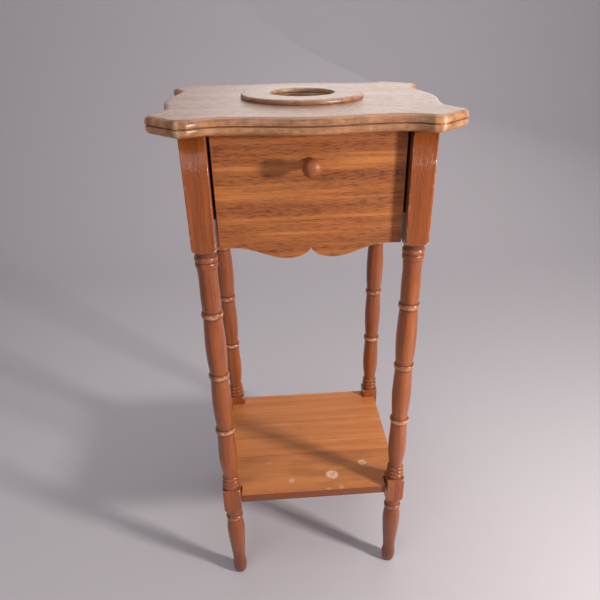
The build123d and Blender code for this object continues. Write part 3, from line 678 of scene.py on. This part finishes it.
class Bench:
    """A geometry node tree under construction."""

    def __init__(self, name, inputs):
        self.tree = bpy.data.node_groups.new(name, "GeometryNodeTree")
        self.names = {}
        for label, kind, value in [("Geometry", "NodeSocketGeometry", None), *inputs]:
            made = self.tree.interface.new_socket(label, in_out="INPUT", socket_type=kind)
            if value is not None:
                made.default_value = value
            self.names[label] = made.identifier
        self.tree.interface.new_socket("Geometry", in_out="OUTPUT", socket_type="NodeSocketGeometry")
        self.given = self.tree.nodes.new("NodeGroupInput")
        self.result = self.tree.nodes.new("NodeGroupOutput")

    def node(self, kind, settings=None, sockets=None):
        made = self.tree.nodes.new(kind)
        for key, value in (settings or {}).items():
            setattr(made, key, value)
        for key, value in (sockets or {}).items():
            self.feed(made.inputs[key], value)
        return made

    def feed(self, socket, value):
        if isinstance(value, Number):
            self.tree.links.new(value.out, socket)
        elif isinstance(value, bpy.types.NodeSocket):
            self.tree.links.new(value, socket)
        else:
            socket.default_value = value

    def given_number(self, label):
        return Number(self, self.given.outputs[label])

    def hand_over(self, last):
        """Ends the tree: makes its instances real and gives them the finish."""
        real = self.node("GeometryNodeRealizeInstances", None, {"Geometry": last.outputs[0]})
        painted = self.node("GeometryNodeSetMaterial", None, {
            "Geometry": real.outputs[0], "Material": self.given.outputs["Finish"]})
        self.feed(self.result.inputs[0], painted.outputs[0])

    def use(self, made, **values):
        """Puts the tree on an object, sets its inputs and turns the result into a plain mesh."""
        modifier = made.modifiers.new(self.tree.name, "NODES")
        modifier.node_group = self.tree
        for label, value in values.items():
            modifier[self.names[label.replace("_", " ")]] = value
        view = bpy.context.evaluated_depsgraph_get()
        mesh = bpy.data.meshes.new_from_object(made.evaluated_get(view), depsgraph=view)
        made.modifiers.remove(modifier)
        old = made.data
        made.data = mesh
        bpy.data.meshes.remove(old)
        return made


class Number:
    """A field in a geometry node tree. The usual signs add Math nodes."""

    def __init__(self, bench, out):
        self.bench, self.out = bench, out

    def maths(self, operation, *others):
        terms = dict(enumerate((self, *others)))
        made = self.bench.node("ShaderNodeMath", {"operation": operation}, terms)
        return Number(self.bench, made.outputs[0])

    def __add__(self, other):
        return self.maths("ADD", other)

    def __sub__(self, other):
        return self.maths("SUBTRACT", other)

    def __rsub__(self, other):
        return (self * -1.0) + other

    def __mul__(self, other):
        return self.maths("MULTIPLY", other)

    def __truediv__(self, other):
        return self.maths("DIVIDE", other)

    __radd__, __rmul__ = __add__, __mul__

    def over(self, other):
        """1 where this is greater than the other, else 0."""
        return self.maths("GREATER_THAN", other)

    def most(self, other):
        return self.maths("MAXIMUM", other)


CROWDING = 0.18  # how much closer the lathe's segments stand at the corners of a square length
SQUARE_EDGE_WEAR_AND_HIGHLIGHT, EDGE_WEAR_AND_HIGHLIGHT_FADE = 0.42, 9.0  # how pale a square edge is (scuffing and painted highlight), and its fade per radian


def lathe_tree():
    """Spins a profile round the upright axis, with square lengths cut where the turner left them."""
    inputs = [("Segments", "NodeSocketInt", 96), ("Post Side", "NodeSocketFloat", 0.025)]
    inputs += [("Post Bottom", "NodeSocketFloat", 9.0), ("Block Side", "NodeSocketFloat", 0.023)]
    inputs += [("Block Bottom", "NodeSocketFloat", 9.0), ("Block Top", "NodeSocketFloat", 9.0)]
    inputs += [("Corner Round", "NodeSocketFloat", 0.001), ("Centre", "NodeSocketVector", (0, 0, 0))]
    inputs += [("Turn", "NodeSocketRotation", None), ("Finish", "NodeSocketMaterial", None)]
    bench = Bench("lathe", inputs)
    profile = bench.given.outputs["Geometry"]
    size = bench.node("GeometryNodeAttributeDomainSize", None, {0: profile})
    rows = Number(bench, size.outputs["Point Count"])
    segments = bench.given_number("Segments")
    sheet = bench.node("GeometryNodeMeshGrid", None, {"Vertices X": segments + 1, "Vertices Y": rows})
    position = bench.node("GeometryNodeInputPosition").outputs[0]
    place = bench.node("ShaderNodeSeparateXYZ", None, {0: position})
    row = ((Number(bench, place.outputs["Y"]) + 0.5) * (rows - 1)).maths("ROUND")
    angle = (Number(bench, place.outputs["X"]) + 0.5) * (2 * math.pi)
    angle = angle + (angle * 4).maths("SINE") * CROWDING

    def sampled(kind, value):
        sockets = {"Geometry": profile, "Value": value, "Index": row}
        return bench.node("GeometryNodeSampleIndex", {"data_type": kind}, sockets).outputs[0]

    split = bench.node("ShaderNodeSeparateXYZ", None, {0: sampled("FLOAT_VECTOR", position)})
    radius, height = Number(bench, split.outputs["X"]), Number(bench, split.outputs["Z"])
    named = bench.node("GeometryNodeInputNamedAttribute", {"data_type": "FLOAT"}, {"Name": "crest"})
    crest = Number(bench, sampled("FLOAT", named.outputs[0]))

    in_post = height.over(bench.given_number("Post Bottom"))
    block_low = height.over(bench.given_number("Block Bottom"))
    in_block = block_low * (1 - height.over(bench.given_number("Block Top")))
    squared = in_post.most(in_block)
    half = (in_post * bench.given_number("Post Side") + in_block * bench.given_number("Block Side")) / 2
    half = half + (1 - squared)  # far outside the turning wherever it isn't squared
    bend = bench.given_number("Corner Round")
    fold = ((angle + math.pi / 4).maths("FLOORED_MODULO", math.pi / 2) - math.pi / 4).maths("ABSOLUTE")
    flat = half / fold.maths("COSINE")
    centre_far = (half - bend) * math.sqrt(2)
    lean = math.pi / 4 - fold
    drop = centre_far * lean.maths("SINE")
    bent = centre_far * lean.maths("COSINE") + (bend * bend - drop * drop).most(0.0).maths("SQRT")
    bend_starts = ((half - bend) / half).maths("ARCTANGENT")
    on_bend = fold.over(bend_starts)
    square = flat * (1 - on_bend) + bent * on_bend
    cut = squared * radius.over(square)
    final = radius * (1 - cut) + square * cut
    # the square's edges are painted pale: scuffing and a painted highlight
    corner = (1 - (bend_starts - fold) * EDGE_WEAR_AND_HIGHLIGHT_FADE).maths("MINIMUM", 1.0).most(0.0)
    edge = cut * corner * SQUARE_EDGE_WEAR_AND_HIGHLIGHT + crest * (1 - cut)

    spot = bench.node("ShaderNodeCombineXYZ", None, {
        "X": final * angle.maths("COSINE"), "Y": final * angle.maths("SINE"), "Z": height})
    stored = bench.node("GeometryNodeStoreNamedAttribute", {"data_type": "FLOAT", "domain": "POINT"}, {
        "Geometry": sheet.outputs["Mesh"], "Name": "crest", "Value": edge})
    shaped = bench.node("GeometryNodeSetPosition", None, {
        "Geometry": stored.outputs[0], "Position": spot.outputs[0]})
    sealed = bench.node("GeometryNodeMergeByDistance", None, {
        "Geometry": shaped.outputs[0], "Distance": 0.01 * MM})
    moved = bench.node("GeometryNodeTransform", None, {
        "Geometry": sealed.outputs[0], "Translation": bench.given.outputs["Centre"],
        "Rotation": bench.given.outputs["Turn"]})
    smooth = bench.node("GeometryNodeSetShadeSmooth", None, {"Geometry": moved.outputs[0]})
    bench.hand_over(smooth)
    return bench


class Profile:
    """Half the outline of a turning, drawn upwards in (radius, height) steps, in millimetres."""

    def __init__(self, radius, height):
        self.steps = [(radius, height)]

    def to(self, *steps):
        """Straight cuts through these points."""
        self.steps += list(steps)
        return self

    def swell(self, *knots, spacing=2.0):
        """A flowing curve through the last point and these."""
        knots = np.array([self.steps[-1], *knots], float)
        r, z = knots.T
        slope = np.gradient(r, z)
        fine = np.linspace(z[0], z[-1], max(4, int((z[-1] - z[0]) / spacing)))[1:]
        for at in fine:
            k = min(np.searchsorted(z, at, side="left") - 1, len(z) - 2)
            span = z[k + 1] - z[k]
            radius = flowing((at - z[k]) / span, r[k], r[k + 1], span * slope[k], span * slope[k + 1])
            self.steps.append((radius, at))
        return self

    def bead(self, inner, outer, top, count=9, cut=0.3, fullness=0.8):
        """A half-round ring up to the height top, with a small cut at each side."""
        low = self.steps[-1][1]
        for k in range(count):
            turn = math.pi * k / (count - 1)
            radius = inner + (outer - inner) * math.sin(turn) ** fullness
            self.steps.append((radius, (low + top) / 2 - (top - low - cut) / 2 * math.cos(turn)))
        self.steps.append((inner, top))
        return self

    def crest(self, reach=2.6, full=1.05, step=0.25):
        """How far each step stands proud of the turning around it, from -1 in a cut to 1 on a ring."""
        r, z = np.array(self.steps).T
        dense_z = np.arange(z.min(), z.max(), step)
        order = np.argsort(z, kind="stable")
        dense_r = np.interp(dense_z, z[order], r[order])
        offsets = np.arange(-3 * reach, 3 * reach, step)
        weights = np.exp(-0.5 * (offsets / reach) ** 2)
        spare = len(offsets) // 2
        padded = np.pad(dense_r, spare, mode="edge")
        blurred = np.convolve(padded, weights / weights.sum(), mode="same")[spare:][:len(dense_z)]
        return np.clip((r - np.interp(z, dense_z, blurred)) / full, -1, 1)

    def thread(self, name, crest=None):
        """The profile as an object that the lathe can spin."""
        made = mesh_object(name, [(r * MM, 0, z * MM) for r, z in self.steps], [])
        set_crest(made.data, self.crest() if crest is None else crest)
        return made


LATHE = lathe_tree()
POST, BLOCK, BLOCK_BOTTOM, BLOCK_TOP = 25.0, 23.0, 128.5, 168.0  # sides and heights, in millimetres
SHOULDER, SHOULDER_IN = 7.5, 1.4  # height of the round under a square length, and its start inside it
SHOULDER_OUT = 0.715  # of the side of a square, a little past its corner
LEG_X, LEG_Y = 110.0, 104.0  # how far the legs' centres stand from the middle


def shoulder(profile, side, low):
    """The round the lathe leaves where it runs into a square length."""
    start, corner = side / 2 - SHOULDER_IN, side * SHOULDER_OUT
    for k in range(1, 10):
        turn = math.radians(10 * k)
        rise = SHOULDER * (1 - math.cos(turn))
        profile.to((start + (corner - start) * math.sin(turn), low + rise))
    return profile


def leg_profile():
    """The leg from its foot to the underside of the top."""
    leg = Profile(0, 0).to((5.6, 0), (6.7, 0.5))
    leg.swell((8.3, 4), (9.6, 12), (8.5, 29), (9.7, 48), (11.3, 70), (11.8, 94), (9.8, 109.5))
    leg.bead(9.8, 11.4, 116.5).swell((9.3, 120), (9.5, 124), (10.0, 128))
    leg = shoulder(leg.to((10.1, BLOCK_BOTTOM)), BLOCK, BLOCK_BOTTOM)
    leg.to((16.45, 150), (16.45, BLOCK_TOP - 3.4), (15.9, BLOCK_TOP - 2.0), (14.6, BLOCK_TOP - 0.8))
    leg.to((12.6, BLOCK_TOP - 0.1), (10.0, BLOCK_TOP + 0.1))
    leg.bead(10.0, 11.4, 174.6).bead(9.7, 11.1, 180.8).bead(9.3, 10.6, 186.6)
    leg.swell((9.0, 190), (9.9, 198), (11.3, 212), (11.5, 229), (10.7, 246), (10.1, 260.5))
    leg.bead(10.1, 12.1, 267.5)
    leg.swell((10.0, 271), (10.6, 280), (11.4, 293), (11.7, 307), (11.2, 323), (10.2, 341.5))
    leg.bead(10.2, 12.1, 348.7)
    leg.swell((10.5, 352), (11.3, 362), (12.0, 382), (11.4, 405), (10.3, 422.5))
    leg.bead(10.3, 12.2, 429.6)
    leg.swell((10.5, 434), (10.7, 450), (10.3, 470), (10.9, 482))
    leg.bead(10.9, 12.1, 488.6).bead(10.9, 12.35, 495.2)
    leg.to((10.9, 495.6), (10.9, 497.5), (11.1, POST_BOTTOM))
    leg = shoulder(leg, POST, POST_BOTTOM)
    return leg.to((17.9, 530), (17.9, 575), (17.9, 616.5), (0, 616.5))


def make_legs():
    """Four legs from one profile. Their grain differs, because it comes from where each one stands."""
    for corner in ("front_left", "front_right", "back_right", "back_left"):
        low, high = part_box(f"leg_{corner}")
        leg = leg_profile().thread(f"turned_leg_{corner}")
        centre = ((low.x + high.x) / 2, (low.y + high.y) / 2, 0)
        LATHE.use(leg, Segments=112, Post_Side=POST * MM, Post_Bottom=POST_BOTTOM * MM,
                  Block_Side=BLOCK * MM, Block_Bottom=BLOCK_BOTTOM * MM, Block_Top=(BLOCK_TOP - 0.01) * MM,
                  Corner_Round=1.1 * MM, Centre=centre, Finish=LEG)
        finish_piece(leg, "frame", LEG, "leg_wood", f"leg_{corner}")


def make_ring():
    """The flat ring round the hole, its rims inside and out pale from scuffing and a painted highlight."""
    low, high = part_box("top_ring")
    rim, bend, base, top = high.x / MM, 2.6, low.z / MM, high.z / MM
    ring = Profile(HOLE + 0.6, base)
    ring.to((62, base), (rim - 0.4, base), (rim, base + 0.5), (rim, base + 2.4))
    for k in range(1, 7):
        turn = math.radians(15 * k)
        ring.to((rim - bend * (1 - math.cos(turn)), top - bend * (1 - math.sin(turn))))
    ring.to((60, top), (56, top), (50, top), (44, top), (39, top), (HOLE + 1.6, top), (HOLE + 1, top))
    ring.to((HOLE + 0.3, top - 0.3), (HOLE, top - 1), (HOLE, base + 1), (HOLE + 0.6, base))
    # the rims are painted pale (scuffing and painted highlight); the first rows, at the ring's foot, are
    # darkened: a painted shadow line where it sits on the top
    places = [HOLE, HOLE + 1.6, 39, 61, 63.5, 65.5, rim]
    crests = np.interp([radius for radius, _ in ring.steps], places, [0.8, 0.5, 0, 0, 0.35, 0.7, 0.45])
    crests[:4] = -0.4
    made = ring.thread("ring_turned", crests)
    LATHE.use(made, Segments=180, Finish=RING)
    finish_piece(made, "frame", RING, "ring_wood", "top_ring")


def make_knob():
    """The mushroom knob, turned along the line on which the drawer opens."""
    low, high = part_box("knob")
    widest, widest_at, dome = 9.3, 20.6, 7.4
    knob = Profile(0, 0).to((5.6, 0), (6.1, 0.4), (6.1, 1.3))
    neck = (5.0, 3.6), (4.3, 8.5), (4.7, 12), (6.6, 15.8), (8.7, 18.2)
    knob.swell(*neck, (widest, widest_at), spacing=0.7)
    for k in range(1, 13):
        turn = math.radians(7.5 * k)
        knob.to((widest * math.cos(turn), widest_at + dome * math.sin(turn)))
    made = knob.thread("knob_turned", [0.12] * len(knob.steps))
    centre = (0, high.y, (low.z + high.z) / 2)
    LATHE.use(made, Segments=72, Centre=centre, Turn=(math.radians(90), 0, 0), Finish=KNOB)
    finish_piece(made, "drawer", KNOB, "knob_wood", "knob")


# ------------------------------------------------------------------ drawer and shelf


FRONT_LOW, FRONT_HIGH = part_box("drawer_front")
SCALLOP_END, SCALLOP_PEAK = FRONT_LOW.z + 13 * MM, FRONT_LOW.z + 10.5 * MM
SCALLOP_FROM, LOBE_X = 78 * MM, 24 * MM


def front_outline(inset):
    """The drawer front: square above, two lobes and a pointed notch below."""
    side, top = FRONT_HIGH.x - inset, FRONT_HIGH.z - inset
    end, low, peak = SCALLOP_END + inset, FRONT_LOW.z + inset, SCALLOP_PEAK + inset * 1.3
    half = straight((0, top), (side, top), 24) + straight((side, top), (side, end), 30)
    half += straight((side, end), (SCALLOP_FROM, end), 6)
    half += sweep((SCALLOP_FROM, end), (LOBE_X, low), (-1, 0), (-1, 0), 26)
    half += sweep((LOBE_X, low), (0, peak), (-1, 0), (-0.45, 0.9), 18)
    half = np.array(half + [np.array((0, peak))])
    other = half[::-1][1:-1] * (-1, 1)
    return np.vstack([half, other])


def make_drawer():
    """The drawer's front and its box."""
    steps = eased(FRONT_HIGH.y - FRONT_LOW.y, 0.9 * MM, 6 * MM)
    front = slab("drawer_front_shaped", front_outline, steps, lambda u, v, w: (u, FRONT_LOW.y + w, v))
    finish_piece(front, "drawer", PANEL, "panel_wood", "drawer_front")
    for hand in ("left", "right"):
        node = f"drawer_side_{hand}"
        finish_piece(board_from(node, 0.6), "drawer", BARE["Y"], "drawer_wood", node)
    finish_piece(board_from("drawer_back", 0.6), "drawer", BARE["X"], "drawer_wood", "drawer_back")
    finish_piece(board_from("drawer_bottom", 0.3), "drawer", BARE["X"], "thin_ply", "drawer_bottom")


BLOCK_IN_X, BLOCK_IN_Y = (LEG_X - BLOCK / 2) * MM, (LEG_Y - BLOCK / 2) * MM


def make_shelf():
    """The two shelf boards, notched round the leg blocks with a little room beside them."""
    for name, end, room in (("front", -1, 1.2 * MM), ("back", 1, 0.5 * MM)):
        inner_x = BLOCK_IN_X - room
        node = f"shelf_board_{name}"
        low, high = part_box(node)
        joint, rim = (high.y, low.y) if end < 0 else (low.y, high.y)
        notch = end * BLOCK_IN_Y
        corners = [(low.x, joint), (high.x, joint), (high.x, notch), (inner_x, notch), (inner_x, rim)]
        corners += [(-inner_x, rim), (-inner_x, notch), (low.x, notch)]
        if end < 0:
            corners.reverse()
        outline = rounded_corners(corners, 0.5 * MM)
        steps = eased(high.z - low.z, 0.8 * MM, 5 * MM)
        board = slab(f"{node}_planed", outline, steps, lambda u, v, w, base=low.z: (u, v, base + w))
        finish_piece(board, "frame", SHELF, "shelf_wood", node)


def make_carcass():
    """The boards between the legs and the strips inside them."""
    for hand in ("left", "right"):
        node = f"apron_{hand}"
        finish_piece(board_from(node), "frame", APRON_SIDE, "apron_wood", node)
        for part in ("runner", "guide", "kicker"):
            node = f"{part}_{hand}"
            finish_piece(board_from(node, 0.5), "frame", INNER["Y"], "inner_wood", node)
        node = f"drawer_stop_{hand}"
        finish_piece(board_from(node, 0.5), "frame", INNER["X"], "inner_wood", node)
    finish_piece(board_from("apron_back"), "frame", APRON_BACK, "apron_wood", "apron_back")
    finish_piece(board_from("front_rail"), "frame", INNER["X"], "inner_wood", "front_rail")


# ------------------------------------------------------------------ pins, screws and nails


def fixing_tree():
    """Drives one slotted screw, or a nail with no slot, in at every point along its own direction."""
    inputs = [("Head Radius", "NodeSocketFloat", SCREW_HEAD), ("Head Tall", "NodeSocketFloat", 1.5 * MM)]
    inputs += [("Neck Radius", "NodeSocketFloat", 1.9 * MM), ("Shank Radius", "NodeSocketFloat", 1.9 * MM)]
    inputs += [("Length", "NodeSocketFloat", 20 * MM), ("Slot Wide", "NodeSocketFloat", 0.8 * MM)]
    inputs += [("Slot Deep", "NodeSocketFloat", 0.8 * MM), ("Seed", "NodeSocketInt", 3)]
    inputs += [("Finish", "NodeSocketMaterial", None)]
    bench = Bench("fixings", inputs)
    head_radius, head_tall = bench.given_number("Head Radius"), bench.given_number("Head Tall")
    head = bench.node("GeometryNodeMeshCone", None, {
        "Vertices": 32, "Radius Top": bench.given_number("Neck Radius"),
        "Radius Bottom": head_radius, "Depth": head_tall})
    slot_size = bench.node("ShaderNodeCombineXYZ", None, {
        "X": head_radius * 3.0, "Y": bench.given_number("Slot Wide"),
        "Z": bench.given_number("Slot Deep") * 2.0})
    cutter = bench.node("GeometryNodeMeshCube", None, {"Size": slot_size.outputs[0]})
    slotted = bench.node("GeometryNodeMeshBoolean", {"operation": "DIFFERENCE"}, {
        0: head.outputs["Mesh"], 1: cutter.outputs["Mesh"]})
    shank = bench.node("GeometryNodeMeshCone", None, {
        "Vertices": 20, "Radius Top": 0.2 * MM, "Radius Bottom": bench.given_number("Shank Radius"),
        "Depth": bench.given_number("Length") - head_tall})
    lift = bench.node("ShaderNodeCombineXYZ", None, {"Z": head_tall})
    raised = bench.node("GeometryNodeTransform", None, {
        "Geometry": shank.outputs["Mesh"], "Translation": lift.outputs[0]})
    whole = bench.node("GeometryNodeJoinGeometry", None, {"Geometry": slotted.outputs["Mesh"]})
    bench.feed(whole.inputs[0], raised.outputs[0])
    way = bench.node("GeometryNodeInputNamedAttribute", {"data_type": "FLOAT_VECTOR"}, {"Name": "along"})
    aimed = bench.node("FunctionNodeAlignRotationToVector", {"axis": "Z"}, {"Vector": way.outputs[0]})
    placed = bench.node("GeometryNodeInstanceOnPoints", None, {
        "Points": bench.given.outputs["Geometry"], "Instance": whole.outputs[0],
        "Rotation": aimed.outputs[0]})
    seed = bench.given.outputs["Seed"]
    spin = bench.node("FunctionNodeRandomValue", {"data_type": "FLOAT"}, {"Seed": seed})
    angle = Number(bench, spin.outputs[1]) * math.pi
    euler = bench.node("ShaderNodeCombineXYZ", None, {"Z": angle})
    turned = bench.node("GeometryNodeRotateInstances", None, {
        "Instances": placed.outputs[0], "Rotation": euler.outputs[0], "Local Space": True})
    bench.hand_over(turned)
    return bench


SCREW_HEAD, NAIL_HEAD, NAIL_SHANK = 3.4 * MM, 1.6 * MM, 0.8 * MM  # radii
TOP_SCREW, KICKER_SCREW, RUNNER_SCREW, NAIL = 20 * MM, 24 * MM, 28 * MM, 22 * MM  # lengths
NAIL_ROWS_APART, BOTTOM_NAILS_APART = 32 * MM, 60 * MM
PROUD = 0.15 * MM  # how far a head stands out of the wood
FIXINGS = fixing_tree()


def drive(node, body, slot, finish, starts, **sizes):
    """Fixings at (point, direction) starts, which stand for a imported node."""
    points = [Vector(point) - Vector(way) * PROUD for point, way in starts]
    made = mesh_object(f"{node}_driven", points, [])
    ways = [part for _, way in starts for part in way]
    made.data.attributes.new("along", "FLOAT_VECTOR", "POINT").data.foreach_set("vector", ways)
    FIXINGS.use(made, Finish=finish, **sizes)
    if "along" in made.data.attributes:
        made.data.attributes.remove(made.data.attributes["along"])
    finish_piece(made, body, finish, slot, node)


def corners_of(node, radius):
    """The plan places of four fixings whose heads touch the sides of the node's box."""
    low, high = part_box(node)
    return [(x, y) for x in (low.x + radius, high.x - radius) for y in (low.y + radius, high.y - radius)]


def make_screws():
    """Screws up into the top, out through the strips at the sides, and behind the knob."""
    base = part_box("top_screws")[0].z
    starts = [((x, y, base), (0, 0, 1)) for x, y in corners_of("top_screws", SCREW_HEAD)]
    drive("top_screws", "frame", "screw_steel", SCREW_STEEL, starts, Length=TOP_SCREW)
    for node, length in (("kicker_screws", KICKER_SCREW), ("runner_screws", RUNNER_SCREW)):
        low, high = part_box(node)
        starts = []
        for x, y in corners_of(node, SCREW_HEAD):
            side = math.copysign(1, x)
            starts.append(((side * (high.x - length), y, (low.z + high.z) / 2), (side, 0, 0)))
        drive(node, "frame", "screw_steel", SCREW_STEEL, starts, Length=length)
    low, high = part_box("knob_screw")
    starts = [((0, high.y, (low.z + high.z) / 2), (0, -1, 0))]
    drive("knob_screw", "drawer", "screw_steel", SCREW_STEEL, starts, Length=high.y - low.y)


def make_nails():
    """Nails through the drawer's sides and bottom into its back."""
    low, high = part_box("drawer_nails")
    back, upper = (low.y + high.y) / 2, high.z - NAIL_HEAD
    rows = upper, upper - NAIL_ROWS_APART
    starts = [((side * high.x, back, z), (-side, 0, 0)) for side in (-1, 1) for z in rows]
    starts += [((k * BOTTOM_NAILS_APART, back, low.z), (0, 0, 1)) for k in (-1, 0, 1)]
    drive("drawer_nails", "drawer", "nail_steel", NAIL_STEEL, starts, Head_Radius=NAIL_HEAD,
          Head_Tall=0.8 * MM, Neck_Radius=NAIL_HEAD, Shank_Radius=NAIL_SHANK, Length=NAIL, Slot_Deep=0.0)


def dress_pins():
    """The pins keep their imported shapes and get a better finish."""
    pin_wood = bare_wood("pin_wood", "Z", 1.1)
    for node in ("apron_pins", "rail_pins", "top_pins", "shelf_pins"):
        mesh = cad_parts[node].data
        mesh.materials.clear()
        mesh.materials.append(pin_wood)


# ------------------------------------------------------------------ light, floor and camera


def lamp(name, place, aim, size, power, tint, tall=None):
    """A soft light that looks at a point, as tall as it is wide unless tall is given."""
    data = bpy.data.lights.new(name, "AREA")
    data.shape, data.size, data.size_y = "RECTANGLE", size, tall or size
    data.energy, data.color = power, tint
    made = bpy.data.objects.new(name, data)
    made.location = place
    made.rotation_euler = (Vector(aim) - Vector(place)).to_track_quat("-Z", "Y").to_euler()
    made.visible_camera = False
    bpy.context.scene.collection.objects.link(made)


def make_floor():
    """A pale paper floor that sweeps up behind the table."""
    half_wide, front, back, rise, bend = 3.6, -3.2, 1.7, 2.4, 0.7
    lines = [(front, 0.0), (back - bend, 0.0)]
    for a in np.linspace(0.1, math.pi / 2, 14):
        lines.append((back - bend + bend * math.sin(a), bend - bend * math.cos(a)))
    lines.append((back, rise))
    points = [(side * half_wide, y, z) for y, z in lines for side in (-1, 1)]
    faces = [(2 * k, 2 * k + 1, 2 * k + 3, 2 * k + 2) for k in range(len(lines) - 1)]
    floor = mesh_object("studio_floor", points, faces)
    f = Finish("studio_paper")
    grain = f.noise(f.place((40, 40, 40)), 4.0, 0.6)
    colour = f.mix(grain * 0.25, (0.54, 0.52, 0.565), (0.48, 0.46, 0.505))
    paper = f.close(colour, 0.85 + grain * 0.1, f.bump(grain, 0.2 * MM), level=0.2)
    floor.data.materials.append(paper)


def make_light():
    """One low key light from the right, soft fill from the left, and a glow over the top from behind."""
    lamp("key", place=(0.97, -0.69, 0.70), aim=(0, 0, 0.40), size=0.14, power=16.5, tint=(1.0, 0.93, 0.84))
    lamp("fill", place=(-1.1, -2.0, 1.7), aim=(0, 0, 0.35), size=1.8, power=15, tint=(1.0, 0.96, 0.94))
    lamp("overhead", place=(0.3, 0.0, 2.4), aim=(0, 0, 0.3), size=1.6, power=14, tint=(1.0, 0.97, 0.94))
    lamp("glow", place=(0.36, 1.55, 0.98), aim=(0.04, 0, 0.62), size=2.6, tall=1.0, power=7.5,
         tint=(1.0, 0.91, 0.85))
    world = bpy.data.worlds.new("studio")
    world.use_nodes = True
    background = world.node_tree.nodes["Background"]
    background.inputs["Color"].default_value = (0.84, 0.81, 0.84, 1)
    background.inputs["Strength"].default_value = 0.22
    bpy.context.scene.world = world
    bpy.context.scene.view_settings.view_transform = "Standard"


def make_camera():
    """A camera a little left of the middle, at arm's length, looking down at the front."""
    data = bpy.data.cameras.new("camera")
    data.lens, data.sensor_width = 33.82, 36.0
    data.shift_x, data.shift_y = -0.0239, 0.063
    made = bpy.data.objects.new("camera", data)
    place = Matrix.Translation((-0.04202, -0.66148, 0.71462))
    turn = Matrix.Rotation(math.radians(-4.569), 4, "Z")
    tilt = Matrix.Rotation(math.radians(90 - 30.225), 4, "X")
    roll = Matrix.Rotation(math.radians(-0.555), 4, "Z")
    made.matrix_world = place @ turn @ tilt @ roll
    bpy.context.scene.collection.objects.link(made)
    bpy.context.scene.camera = made


# ------------------------------------------------------------------ the whole table

make_camera()
make_floor()
make_light()
make_top()
make_ring()
make_legs()
make_carcass()
make_drawer()
make_knob()
make_shelf()
make_screws()
make_nails()
dress_pins()
